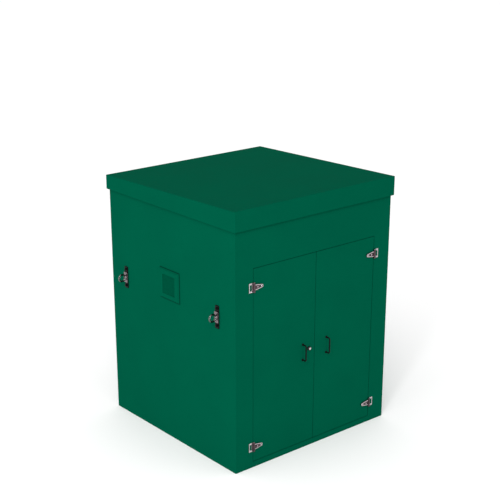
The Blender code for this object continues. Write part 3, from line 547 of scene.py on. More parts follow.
    def pipe(self, path: list[Vector], radius: float, sides: int = 32) -> None:
        """A round bar along a path, with flat ends.

        Args:
            path: The points of its middle line.
            radius: Its radius.
            sides: Steps round it.
        """
        bm = bmesh.new()
        rings = []
        side = (path[1] - path[0]).orthogonal()
        for i, point in enumerate(path):
            before = path[max(i - 1, 0)]
            after = path[min(i + 1, len(path) - 1)]
            way = (after - before).normalized()
            side = (side - way * side.dot(way)).normalized()
            other = way.cross(side)
            matrix = Matrix((side, other, way)).transposed().to_4x4()
            made = bmesh.ops.create_circle(bm, segments=sides, radius=radius)
            bmesh.ops.transform(bm, matrix=Matrix.Translation(point) @ matrix, verts=made["verts"])
            rings.append(list({e for v in made["verts"] for e in v.link_edges}))
        for first, second in zip(rings, rings[1:]):
            bmesh.ops.bridge_loops(bm, edges=first + second)
        bmesh.ops.holes_fill(bm, edges=rings[0])
        bmesh.ops.holes_fill(bm, edges=rings[-1])
        bmesh.ops.recalc_face_normals(bm, faces=bm.faces)
        self.take(bm)

    def copy(self, node: str, edge: float = 0.0, segments: int = 2) -> None:
        """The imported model's own shape, merged, with its sharp edges eased.

        Args:
            node: The CAD node.
            edge: Radius of the eased edges.
            segments: Steps round each edge.
        """
        bm = bmesh.new()
        bm.from_mesh(frame["nodes"][node].data)
        bmesh.ops.remove_doubles(bm, verts=bm.verts, dist=0.02 * MM)
        bmesh.ops.dissolve_limit(
            bm, angle_limit=radians(0.5), use_dissolve_boundaries=False, verts=bm.verts[:], edges=bm.edges[:]
        )
        if edge:
            sharp = [e for e in bm.edges if len(e.link_faces) == 2 and e.calc_face_angle(0) > SMOOTH_ANGLE]
            round_edges(bm, sharp, edge, segments)
        self.take(bm)

    def piece(
        self,
        name: str,
        finish: Finish,
        body: str,
        replaced: Sequence[str] = (),
        edge_highlight_finish: Finish | None = None,
    ) -> bpy.types.Object:
        """Finishes the model as a piece of the object.

        Args:
            name: The piece's name.
            finish: Its finish.
            body: The CAD body it rides on.
            replaced: CAD nodes that it stands for.
            edge_highlight_finish: The finish of its rounded edges, if it isn't the same: a brighter steel
                that paints a highlight on the edges.

        Returns:
            The object, at the origin.
        """
        if edge_highlight_finish is None:
            for face in self.bm.faces:
                face.material_index = 0
        mesh = bpy.data.meshes.new(name)
        self.bm.to_mesh(mesh)
        self.bm.free()
        mesh.shade_smooth()
        mesh.set_sharp_from_angle(angle=SMOOTH_ANGLE)
        mesh.materials.append(MATERIALS[finish])
        if edge_highlight_finish is not None:
            mesh.materials.append(MATERIALS[edge_highlight_finish])
        thing = bpy.data.objects.new(name, mesh)
        bpy.context.scene.collection.objects.link(thing)
        weigh = thing.modifiers.new("flat_faces_stay_flat", "WEIGHTED_NORMAL")
        weigh.keep_sharp = True
        evaluated = thing.evaluated_get(bpy.context.evaluated_depsgraph_get())
        thing.data = bpy.data.meshes.new_from_object(evaluated)
        thing.data.name = name
        thing.modifiers.clear()
        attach(thing, body)
        if replaced:
            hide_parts(*replaced)
        log.info("%s: %d faces on %s", name, len(thing.data.polygons), body)
        return thing


def facing(at: Point, axis: Point) -> Matrix:
    """The matrix that moves the origin to a place and turns Z to a direction.

    Args:
        at: The place.
        axis: The direction.

    Returns:
        The matrix.
    """
    return Matrix.Translation(at) @ Vector(axis).to_track_quat("Z", "Y").to_matrix().to_4x4()


def round_edges(bm: bmesh.types.BMesh, edges: list[bmesh.types.BMEdge], radius: float, segments: int) -> None:
    """Rounds edges of a bmesh, and marks the new faces for the edge finish, which paints a highlight on them
    where a piece is given a brighter one.

    Args:
        bm: The shape.
        edges: The edges.
        radius: Their radius, in metres.
        segments: Steps round each edge.
    """
    made = bmesh.ops.bevel(
        bm,
        geom=edges,
        offset=radius,
        segments=segments,
        affect="EDGES",
        profile=0.5,
        material=-1,
        clamp_overlap=True,
    )
    for face in made["faces"]:
        face.material_index = 1


def rounded(radius: float, height: float, edge: float, way: int, steps: int = 4) -> Profile:
    """The rounded corner of a turned profile, from its side to its end face.

    Args:
        radius: The radius at the side.
        height: The height of the end face.
        edge: The corner's radius.
        way: -1 for an end at the top, 1 at the bottom.
        steps: Steps round the corner.

    Returns:
        Radius and height pairs.
    """
    points = []
    for i in range(steps + 1):
        angle = pi / 2 * i / steps
        points.append((radius - edge + edge * cos(angle), height + way * (edge - edge * sin(angle))))
    return points


def arc(
    centre: Vector, across: Vector, up: Vector, radius: float, start: float, end: float, steps: int
) -> list[Vector]:
    """Points along an arc in the plane of two directions, angles in degrees.

    Args:
        centre: The middle of the arc.
        across: The direction of 0 degrees.
        up: The direction of 90 degrees.
        radius: The radius, in metres.
        start: The angle it starts at.
        end: The angle it ends at.
        steps: How many steps it is cut into.

    Returns:
        One point more than there are steps.
    """
    angles = [radians(start + (end - start) * i / steps) for i in range(steps + 1)]
    return [centre + radius * (cos(a) * across + sin(a) * up) for a in angles]


def carry_over(finish: Finish, nodes: Iterable[str]) -> None:
    """Gives CAD nodes that stay as they are a node material.

    Args:
        finish: The finish.
        nodes: The names of the CAD nodes.
    """
    for name in nodes:
        slots = frame["nodes"][name].data.materials
        slots.clear()
        slots.append(MATERIALS[finish])


def bolt(model: Model, at: Point, out: Vector, across: float) -> None:
    """A hexagon bolt head with its washer.

    Args:
        model: The model it is added to.
        at: Where its axis meets the surface.
        out: The direction that it stands out in.
        across: Width across its flats.
    """
    foot, washer = Vector(at), out * (across * 0.12)
    model.rod(foot, foot + washer, across * 0.75, washer.length * 0.4, 32)
    model.prism(foot + washer, out, across, across * 0.6)


def dome_screw(model: Model, at: Point, out: Vector, radius: float) -> None:
    """A round-headed rivet or screw.

    Args:
        model: The model it is added to.
        at: Where its axis meets the surface.
        out: The direction that it stands out in.
        radius: The head's radius.
    """
    height = radius * 0.6
    steps = 8
    profile: Profile = [(0, -height * 0.3), (radius, -height * 0.3)]
    quarter = [pi / 2 * i / steps for i in range(steps + 1)]
    profile += [(radius * cos(a), height * sin(a)) for a in quarter]
    model.turn(profile, at, out, 28)


# ---------------------------------------------------------------- the cabinet


@dataclass
class Cabinet:
    """The moulded walls, roof, floor and door seal."""

    edge: float = 3 * MM
    skin: float = 25 * MM

    def build(self) -> None:
        """Builds the cabinet's pieces."""
        self.walls()
        self.roof()
        self.floor()

    def walls(self) -> None:
        """The walls, green outside and flowcoated inside."""
        model = Model()
        model.copy("cabinet_shell", self.edge, 3)
        low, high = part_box("cabinet_shell")
        walls = model.piece("cabinet_walls", GELCOAT, "cabinet", ["cabinet_shell"])
        walls.data.materials.append(MATERIALS[FLOWCOAT])
        for face in walls.data.polygons:
            c, n = face.center, face.normal
            deep = all(low[i] + self.skin < c[i] < high[i] - self.skin for i in (0, 1))
            inward = n.x * c.x + n.y * c.y < 0
            if deep and inward and abs(n.z) < 0.5:
                face.material_index = 1

    def roof(self) -> None:
        """The sloping cap, hollow below for the walls to enter."""
        model = Model()
        model.copy("roof_cap")
        model.piece("roof_cap_moulding", GELCOAT, "cabinet", ["roof_cap"])

    def floor(self) -> None:
        """The floor board and the seal keep their own shapes."""
        carry_over(BOARD, ["floor_panel"])
        carry_over(RUBBER, ["door_seal"])


@dataclass
class Vent:
    """The louvred vent in the left wall."""

    edge: float = 0.525 * MM
    mesh_pitch: float = 2.6 * MM
    mesh_wire: float = 0.85 * MM
    mesh_set_back: float = 3.4 * MM
    mesh_half: float = 59.4 * MM
    bead: float = 2.6 * MM

    def build(self) -> None:
        """Builds the vent's face and blades, and the insect mesh in front of them."""
        model = Model()
        model.copy("left_vent", self.edge)
        model.piece("vent_louvre", GELCOAT, "cabinet", ["left_vent"])
        self.insect_mesh()
        self.sealant()

    def sealant(self) -> None:
        """The bead that seals the frame to the wall, dark, so that it also paints the shadow line round the
        frame.
        """
        low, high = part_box("left_vent")
        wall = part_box("cabinet_shell")[0].x
        corners = [(low.y, low.z), (high.y, low.z), (high.y, high.z), (low.y, high.z)]
        model = Model()
        for (y, z), (next_y, next_z) in zip(corners, corners[1:] + corners[:1]):
            model.rod((wall, y, z), (wall, next_y, next_z), self.bead, sides=12)
        # The dark bead is a real seal, and its colour paints the shadow line round the frame.
        model.piece("vent_sealant_bead_painted_shadow", SEALANT_PAINTED_SHADOW, "cabinet")

    def insect_mesh(self) -> None:
        """Fine crossed wires, coated in the cabinet's colour, in the mouth of the duct."""
        low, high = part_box("left_vent")
        z = ((low + high) / 2).z
        half = self.mesh_half
        front = low.x + self.mesh_set_back
        behind = front + 2 * self.mesh_wire
        count = int(2 * half / self.mesh_pitch)
        model = Model()
        for i in range(count + 1):
            at = -half + 2 * half * i / count
            model.rod((front, at, z - half), (front, at, z + half), self.mesh_wire, sides=6)
            model.rod((behind, -half, z + at), (behind, half, z + at), self.mesh_wire, sides=6)
        model.piece("vent_insect_mesh", GELCOAT, "cabinet")


@dataclass
class Doors:
    """The two doors with their handles and bolts."""

    thickness: float = 30 * MM
    edge: float = 1.8 * MM
    border: float = 55 * MM
    recess: float = 5 * MM
    guide_half: float = 10 * MM
    guide_depth: float = 26 * MM
    guide_edge: float = 1.5 * MM
    guide_reach: float = 30 * MM
    guide_pitch: float = 110 * MM
    handle_bend: float = 10 * MM
    collar: float = 3 * MM
    collar_edge: float = 1 * MM
    bolt_edge: float = 1.5 * MM
    # Each ring of a bolt's knob: its share of the bar's radius, and its share of the knob's reach.
    knob: tuple[tuple[float, float], ...] = ((0.75, 0.0), (0.6, 0.5), (0.8, 0.7), (0.95, 0.88), (0.7, 1.0))

    def build(self) -> None:
        """Builds both doors."""
        for side in ("left", "right"):
            self.panel(side)
            self.handle(side)
        self.bolts()

    def panel(self, side: str) -> None:
        """One door: a flush outer face and a moulded recess inside.

        Args:
            side: left or right.
        """
        low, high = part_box(f"{side}_door")
        front = low.y
        back = front + self.thickness
        bm = bmesh.new()
        bmesh.ops.create_cube(bm, size=1)
        size = Vector((high.x - low.x, back - front, high.z - low.z))
        centre = Vector(((low.x + high.x) / 2, (front + back) / 2, (low.z + high.z) / 2))
        place = Matrix.Translation(centre) @ Matrix.Diagonal((*size, 1))
        bmesh.ops.transform(bm, matrix=place, verts=bm.verts)
        inner = [f for f in bm.faces if f.normal.y > 0.9]
        bmesh.ops.inset_region(bm, faces=inner, thickness=self.border, depth=0)
        bmesh.ops.inset_region(bm, faces=inner, thickness=self.recess, depth=-self.recess)
        outer = [e for e in bm.edges if e.calc_face_angle(0) > SMOOTH_ANGLE]
        round_edges(bm, outer, self.edge, 3)
        model = Model()
        model.take(bm)
        if side == "right":
            self.guides(model, back)
        door = model.piece(f"{side}_door_moulding", GELCOAT, f"{side}_door", [f"{side}_door"])
        door.data.materials.append(MATERIALS[FLOWCOAT])
        for face in door.data.polygons:
            if face.normal.y > 0.5 and face.center.y > back - 2 * self.recess:
                face.material_index = 1

    def guides(self, model: Model, back: float) -> None:
        """The bolts' guide blocks on the right door's inner face.

        Args:
            model: The model they are added to.
            back: Where the door's inner face is, along Y.
        """
        for name, way in (("top_bolt", 1), ("bottom_bolt", -1)):
            low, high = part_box(name)
            x = (low.x + high.x) / 2
            radius = (high.x - low.x) / 2
            tip = high.z if way > 0 else low.z
            first = tip - way * self.guide_reach
            for z in (first, first - way * self.guide_pitch):
                near = (x - 2 * radius, back - self.edge, z - self.guide_half)
                far = (x + 2 * radius, back + self.guide_depth, z + self.guide_half)
                model.block(near, far, self.guide_edge)

    def handle(self, side: str) -> None:
        """A bent wire handle with a collar at each foot.

        Args:
            side: left or right.
        """
        node = f"{side}_pull_handle"
        low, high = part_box(node)
        radius = (high.x - low.x) / 2
        x = (low.x + high.x) / 2
        foot, out = high.y, low.y + radius
        top, bottom = high.z - radius, low.z + radius
        bend = self.handle_bend
        leg = out + bend * 1.2
        path = [Vector((x, foot, top)), Vector((x, leg, top))]
        path += arc(Vector((x, out + bend, top - bend)), BACK, UP, bend, 90, 180, 10)
        path += arc(Vector((x, out + bend, bottom + bend)), BACK, UP, bend, 180, 270, 10)
        path += [Vector((x, leg, bottom)), Vector((x, foot, bottom))]
        model = Model()
        model.pipe(path, radius, 24)
        for z in (top, bottom):
            model.rod((x, foot, z), (x, foot - self.collar, z), radius * 1.9, self.collar_edge, 32)
        model.piece(f"{side}_handle", BLACK, f"{side}_door", [node])

    def bolts(self) -> None:
        """The sliding bolts, turned, with a waisted knob."""
        for node in ("top_bolt", "bottom_bolt"):
            low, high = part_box(node)
            x = (low.x + high.x) / 2
            radius = (high.x - low.x) / 2
            y = low.y + radius
            knob = self.knob_height(node, y + radius)
            model = Model()
            model.rod((x, y, low.z), (x, y, high.z), radius, self.bolt_edge, 32)
            reach = high.y - y
            rings = [(radius * wide, reach * far) for wide, far in self.knob]
            model.turn([(0, 0), *rings, (0, reach)], (x, y, knob), BACK, 28)
            model.piece(f"{node}_bar", STEEL, node, [node])

    def knob_height(self, node: str, beyond: float) -> float:
        """The height of a bolt's knob, from the points that stand out past its bar.

        Args:
            node: The bolt's CAD node.
            beyond: How far back the bar reaches, along Y.

        Returns:
            The height, in metres.
        """
        heights = [v.co.z for v in frame["nodes"][node].data.vertices if v.co.y > beyond + MM]
        return (min(heights) + max(heights)) / 2


@dataclass
class Hinges:
    """The four strap hinges."""

    edge: float = 0.9 * MM
    rim: float = 5.5 * MM
    window_height: float = 34 * MM
    leaf_thickness: float = 3.5 * MM
    strap_thickness: float = 8.5 * MM
    strap_edge: float = 1.4 * MM
    strap_recess: float = 1.6 * MM
    shoulder: float = 16 * MM
    tip: float = 10 * MM
    tip_angle: float = 75.0
    screws: tuple[float, float] = (26 * MM, 53 * MM)
    screw: float = 4.2 * MM
    shank: float = 3 * MM
    shank_end: float = 2.5 * MM
    shank_chamfer: float = 0.6 * MM
    pin_head: float = 2.5 * MM
    pin_rim: float = 1.4 * MM
    pin_dome: float = 0.4 * MM

    def build(self) -> None:
        """Builds the hinges."""
        for level in ("upper", "lower"):
            for side, sign in (("left", -1), ("right", 1)):
                self.leaf(f"{level}_{side}", sign)
                self.strap(f"{level}_{side}", side, sign)
                self.pin(f"{level}_{side}")

    def leaf(self, name: str, sign: int) -> None:
        """The leaf on the frame: a plate with an open window, two knuckles and two screws.

        Args:
            name: Which hinge.
            sign: -1 on the left, 1 on the right.
        """
        low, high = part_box(f"{name}_hinge_leaf")
        pin_low, pin_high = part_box(f"{name}_hinge_pin")
        axis = (pin_low + pin_high) / 2
        knuckle = axis.y - low.y
        strap_low, strap_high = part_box(f"{name}_hinge_strap")
        back = high.y
        front = back - self.leaf_thickness
        outer = low.x if sign < 0 else high.x
        inner = axis.x + sign * knuckle
        rim = sign * self.rim
        z = (low.z + high.z) / 2
        window = self.window_height / 2
        model = Model()
        for a, b in ((low.z, z - window), (z + window, high.z)):
            model.block((axis.x, front, a), (outer, back, b), self.edge)
        overlap = self.edge * 1.5
        for a, b in ((inner, inner + rim), (outer - rim, outer)):
            model.block((a, front, z - window - overlap), (b, back, z + window + overlap), self.edge)
        # The knuckles take the darkened steel, which paints the shade in the gap between leaf and strap.
        barrels = Model()
        for a, b in ((low.z, strap_low.z - GAP), (strap_high.z + GAP, high.z)):
            barrels.rod((axis.x, axis.y, a), (axis.x, axis.y, b), knuckle, self.edge * 0.7, 36)
        barrels.piece(f"{name}_leaf_knuckles", BRUSHED_PAINTED_SHADE, "cabinet", [f"{name}_hinge_leaf"])
        screw = (inner + outer) / 2
        rise = (high.z - z + window) / 2
        for screw_z in (z - rise, z + rise):
            dome_screw(model, (screw, front, screw_z), FRONT, self.screw)
        model.piece(f"{name}_leaf", STEEL, "cabinet", [f"{name}_hinge_leaf"])

    def strap(self, name: str, side: str, sign: int) -> None:
        """The strap on the door: a thick tapered arm with its knuckle and two screws.

        Args:
            name: Which hinge.
            side: The side of its door.
            sign: -1 on the left, 1 on the right.
        """
        node = f"{name}_hinge_strap"
        low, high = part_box(node)
        pin_low, pin_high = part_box(f"{name}_hinge_pin")
        axis = (pin_low + pin_high) / 2
        knuckle = axis.y - low.y
        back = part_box("cabinet_shell")[0].y - GAP
        thick = self.strap_thickness
        half = (high.z - low.z) / 2
        z = (high.z + low.z) / 2
        length = (high.x - axis.x) if sign < 0 else (axis.x - low.x)
        across = -sign * ACROSS
        root = Vector((axis.x, back, z))
        shoulder = root + across * self.shoulder
        bend = root + across * (length - self.tip)
        outline = [root + UP * half, shoulder + UP * half]
        outline += arc(bend, across, UP, self.tip, self.tip_angle, -self.tip_angle, 12)
        outline += [shoulder - UP * half, root - UP * half]
        model = Model()
        model.plate(outline, FRONT * thick, self.strap_edge, 3, self.strap_recess)
        model.rod((axis.x, axis.y, low.z), (axis.x, axis.y, high.z), knuckle, self.edge * 0.7, 36)
        # The strap's face takes the darkened steel, a painted shade, and its rounded edges and rim take the
        # bright steel, a painted highlight.
        model.piece(f"{name}_strap", BRUSHED_PAINTED_SHADE, f"{side}_door", [node], STEEL)
        screws = Model()
        for reach in self.screws:
            dome_screw(screws, root + across * reach + FRONT * thick, FRONT, self.screw)
        screws.piece(f"{name}_strap_screws", STEEL, f"{side}_door", [node])

    def pin(self, name: str) -> None:
        """The pin with its domed head.

        Args:
            name: Which hinge.
        """
        node = f"{name}_hinge_pin"
        low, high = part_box(node)
        axis = (low + high) / 2
        head = (high.x - low.x) / 2
        length = high.z - low.z
        model = Model()
        profile = [(0, 0), (self.shank_end, 0), (self.shank, self.shank_chamfer)]
        profile += [(self.shank, length - self.pin_head), (head, length - self.pin_head)]
        profile += [(head, length - self.pin_rim), (head * 0.8, length - self.pin_dome)]
        profile += [(head * 0.4, length), (0, length)]
        model.turn(profile, (axis.x, axis.y, low.z), UP, 32)
        model.piece(f"{name}_pin", STEEL, "cabinet", [node])


@dataclass
class Lock:
    """The cam lock in the left door."""

    # The head's rounded rim: how far in from its edge, and how far behind its face, in millimetres.
    rim: tuple[tuple[float, float], ...] = ((4.5, 0), (2.6, 0.8), (1.2, 2.2), (0.4, 4.2), (0, 6.5))
    plug_gap: float = 0.3 * MM
    face_chamfer: float = 0.4 * MM
    seat: float = 0.3 * MM
    barrel: float = 9.5 * MM
    barrel_length: float = 29 * MM
    plug_edge: float = 0.25 * MM
    cam_edge: float = 0.7 * MM
    nut: float = 11 * MM

    def build(self) -> None:
        """Builds the barrel with its nut, the keyed plug and the cam."""
        low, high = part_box("lock_barrel")
        x, z = (low.x + high.x) / 2, (low.z + high.z) / 2
        head = (high.x - low.x) / 2
        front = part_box("left_door")[0].y
        depth = front - low.y
        plug_low, plug_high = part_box("lock_plug")
        plug = (plug_high.x - plug_low.x) / 2
        bore, end = plug + self.plug_gap, depth + self.barrel_length
        profile: Profile = [(bore, self.face_chamfer), (bore, 0)]
        profile += [(head - inward * MM, behind * MM) for inward, behind in self.rim]
        profile += [(head, depth - self.seat), (self.barrel, depth - self.seat)]
        profile += [(self.barrel, end), (bore, end), (bore, self.face_chamfer)]
        model = Model()
        model.turn(profile, (x, low.y, z), BACK, 56)
        # The housing takes the darkened steel, which paints a dark ring of shade round the plug's painted
        # highlight.
        model.piece("lock_housing", BRUSHED_PAINTED_SHADE, "left_door", ["lock_barrel"])
        self.plug()
        self.cam()

    def plug(self) -> None:
        """The plug: a turned bar with the key slot in its face."""
        model = Model()
        model.copy("lock_plug", self.plug_edge)
        # The plug's over-bright chrome paints the lock's highlight.
        model.piece("lock_key_plug", CHROME_PAINTED_HIGHLIGHT, "lock_cylinder", ["lock_plug"])

    def cam(self) -> None:
        """The cam, its edges eased, and the nut that holds it."""
        low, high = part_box("lock_cam")
        x = (low.x + high.x) / 2
        half = (high.x - low.x) / 2
        top = Vector((x, low.y, high.z - half))
        bottom = Vector((x, low.y, low.z + half))
        outline = arc(top, ACROSS, UP, half, 0, 180, 16)
        outline += arc(bottom, ACROSS, UP, half * 0.8, 180, 360, 16)
        model = Model()
        model.plate(outline, BACK * (high.y - low.y), self.cam_edge)
        bolt(model, (x, high.y, high.z - half), BACK, self.nut)
        model.piece("lock_cam_plate", ZINC, "lock_cylinder", ["lock_cam"])


@dataclass
class LiftingPoints:
    """The four lifting eyes on their straps."""

    edge: float = 1.0 * MM
    bolt_inset: float = 17 * MM
    bolt: float = 13 * MM
    plate: float = 5 * MM
    ring_wire: float = 6 * MM
    ring_radius: float = 21 * MM
    screw_reach: float = 24 * MM
    screw: float = 4 * MM
    # The neck between plate and ring: radius and height in millimetres.
    neck: tuple[tuple[float, float], ...] = (
        (0, -1), (10.5, -1), (10.5, 1.5), (9.5, 3), (8, 4.5), (7, 8), (0, 8)
    )

    def build(self) -> None:
        """Builds each strap with its bolts, and each eye with its plate."""
        for side, sign in (("left", -1), ("right", 1)):
            for end in ("front", "rear"):
                self.strap(f"{end}_{side}", sign)
                self.eye(f"{end}_{side}", sign)

    def strap(self, name: str, sign: int) -> None:
        """A black strap with a bolt at each end.

        Args:
            name: Which lifting point.
            sign: -1 on the left, 1 on the right.
        """
        node = f"{name}_lifting_strap"
        low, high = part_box(node)
        model = Model()
        model.block(low, high, self.edge, 3)
        y = (low.y + high.y) / 2
        face = low.x if sign < 0 else high.x
        for z in (low.z + self.bolt_inset, high.z - self.bolt_inset):
            bolt(model, (face, y, z), sign * ACROSS, self.bolt)
        model.piece(f"{name}_strap", BLACK, "cabinet", [node])

    def eye(self, name: str, sign: int) -> None:
        """The plate, its neck and its ring, in steels darkened to paint a dark reflection, the ring's tinted
        green.

        Args:
            name: Which lifting point.
            sign: -1 on the left, 1 on the right.
        """
        node = f"{name}_lifting_eye"
        low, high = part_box(node)
        y, z = (low.y + high.y) / 2, (low.z + high.z) / 2
        inner = high.x if sign < 0 else low.x
        outer = low.x if sign < 0 else high.x
        face = inner + sign * self.plate
        out = sign * ACROSS
        model = Model()
        model.block((inner, low.y, low.z), (face, high.y, high.z), self.edge, 3)
        model.turn([(r * MM, h * MM) for r, h in self.neck], (face, y, z), out, 40)
        for way in (-1, 1):
            dome_screw(model, (face, y, z + way * self.screw_reach), out, self.screw)
        # The plate's darkened steel paints a dark reflection.
        model.piece(f"{name}_eye_plate", SATIN_PAINTED_REFLECTION, "cabinet", [node])
        # The ring's dark green steel paints a reflection of the cabinet.
        ring = Model()
        middle = outer - sign * (self.ring_radius + self.ring_wire)
        ring.ring((middle, y, z), BACK, self.ring_radius, self.ring_wire)
        ring.piece(f"{name}_eye_ring", MIRROR_PAINTED_REFLECTION, "cabinet", [node])


# ---------------------------------------------------------------- the pipework


@dataclass(frozen=True)
class Line:
    """The middle line of the pipework, left to right inside the cabinet."""

    y: float = 80 * MM
    z: float = 650 * MM

    def at(self, x: float, out: float = 0.0, rise: float = 0.0) -> Vector:
        """A place along the line, moved out towards the doors and up.

        Args:
            x: How far right of the middle.
            out: How far towards the doors.
            rise: How far up.

        Returns:
            The place.
        """
        return Vector((x, self.y - out, self.z + rise))


LINE = Line()


@dataclass
class Riser:
    """A copper pipe from the ground to a stop valve, its union nut and its floor seal."""

    side: str
    sign: int
    x: float = 430 * MM
    end: float = 283.6 * MM
    radius: float = 30 * MM
    bend: float = 90 * MM
    nut: float = 70 * MM
    nut_length: float = 22 * MM
    nut_edge: float = 1.5 * MM
    collar_length: float = 12 * MM
    collar_wall: float = 3 * MM
    seal: float = 41 * MM
    # The floor seal: how far out from the pipe and how far above the floor, in millimetres.
    seal_top: tuple[tuple[float, float], ...] = ((5, 8), (4, 18), (0, 19))

    def build(self) -> None:
        """Builds the pipe and what is on it."""
        out = self.sign * ACROSS
        ground = Vector((self.sign * self.x, LINE.y, 0))
        turn = LINE.at(self.sign * (self.x - self.bend), 0, -self.bend)
        path = [ground, *arc(turn, out, UP, self.bend, 0, 90, 20), LINE.at(self.sign * self.end)]
        model = Model()
        model.pipe(path, self.radius, 40)
        collar = self.end + self.nut_length
        ends = [LINE.at(self.sign * x) for x in (collar, collar + self.collar_length)]
        model.rod(ends[0], ends[1], self.radius + self.collar_wall, MM)
        model.piece(f"{self.side}_pipe", COPPER, "cabinet", [f"{self.side}_riser"])
        nut = Model()
        nut.prism(LINE.at(self.sign * (self.end + MM)), out, self.nut, self.nut_length, 8, self.nut_edge)
        nut.piece(f"{self.side}_union_nut", BRASS, "cabinet")
        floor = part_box("floor_panel")[1].z
        profile = [(self.radius, floor - 3 * MM), (self.seal, floor + GAP), (self.seal, floor + 4 * MM)]
        profile += [(self.radius + out_by * MM, floor + rise * MM) for out_by, rise in self.seal_top]
        seal = Model()
        seal.turn(profile, ground)
        seal.piece(f"{self.side}_floor_seal", RUBBER, "cabinet")


@dataclass
class StopValve:
    """A full-bore ball valve with octagon ends and a vinyl-dipped lever."""

    side: str
    sign: int
    half: float = 59 * MM
    ball: float = 42 * MM
    barrel: float = 33.6 * MM
    end: float = 70 * MM
    end_length: float = 24 * MM
    end_edge: float = 1.2 * MM
    fillet: float = 2 * MM
    boss: float = 13 * MM
    boss_height: float = 54 * MM
    gland: float = 24 * MM
    gland_height: float = 10 * MM
    port: float = 12 * MM
    port_reach: float = 46 * MM
    lever: float = 150 * MM
    lever_width: float = 22 * MM
    lever_thickness: float = 5 * MM
    hub: float = 16.5 * MM
    nut: float = 14 * MM
    grip: float = 8 * MM
    grip_start: float = 0.32

    def build(self) -> None:
        """Builds the casting and the lever."""
        low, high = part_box(f"{self.side}_valve_body")
        x = (low.x + high.x) / 2
        self.casting(x)
        self.handle(x)

    def casting(self, x: float) -> None:
        """The brass casting: a ball between octagons, and the boss of the stem.

        Args:
            x: The stem's place along the line.
        """
        reach = sqrt(self.ball**2 - self.barrel**2)
        start = asin(reach / self.ball)
        steps, tip = 16, self.half - MM
        profile: Profile = [(0, -tip), (self.barrel, -tip), (self.barrel, -reach - self.fillet)]
        for i in range(steps + 1):
            angle = -start + 2 * start * i / steps
            profile.append((self.ball * cos(angle), self.ball * sin(angle)))
        profile += [(self.barrel, reach + self.fillet), (self.barrel, tip), (0, tip)]
        model = Model()
        model.turn(profile, LINE.at(x), ACROSS, 56)
        for start_x in (x - self.half, x + self.half - self.end_length):
            model.prism(LINE.at(start_x), ACROSS, self.end, self.end_length, 8, self.end_edge)
        neck = self.boss_height - self.gland_height
        model.rod(LINE.at(x, 0, self.barrel), LINE.at(x, 0, neck + MM), self.boss, MM)
        model.prism(LINE.at(x, 0, neck), UP, self.gland, self.gland_height)
        if self.side == "inlet":
            port_x = x - self.half + self.end_length / 2
            model.rod(LINE.at(port_x, self.barrel * 0.8), LINE.at(port_x, self.port_reach), self.port, MM)
        model.piece(f"{self.side}_valve_casting", BRASS, "cabinet", [f"{self.side}_valve_body"])

    def handle(self, x: float) -> None:
        """The lever: a flat bar, a thick soft grip on it, and the nut that holds it to the stem.

        Args:
            x: The stem's place along the line.
        """
        body = f"{self.side}_valve_handle"
        base = self.boss_height + GAP
        across = self.sign * ACROSS
        root, half = LINE.at(x, 0, base), self.lever_width / 2
        outline = arc(root, across, BACK, self.hub, 45, 315, 24)
        end = root + across * (self.lever - half)
        outline += arc(end, across, BACK, half * 0.9, -90, 90, 12)
        model = Model()
        model.plate(outline, UP * self.lever_thickness, MM)
        middle, grip = root.z + self.lever_thickness / 2, self.grip / 2
        near = (x + self.sign * self.grip_start * self.lever, LINE.y - half, middle - grip)
        far = (x + self.sign * self.lever, LINE.y + half, middle + grip)
        model.block(near, far, self.grip * 0.42, 4)
        model.piece(f"{self.side}_valve_grip", RED_VINYL, body, [f"{self.side}_valve_lever"])
        nut = Model()
        bolt(nut, LINE.at(x, 0, base + self.lever_thickness), UP, self.nut)
        nut.piece(f"{self.side}_lever_nut", STEEL, body)


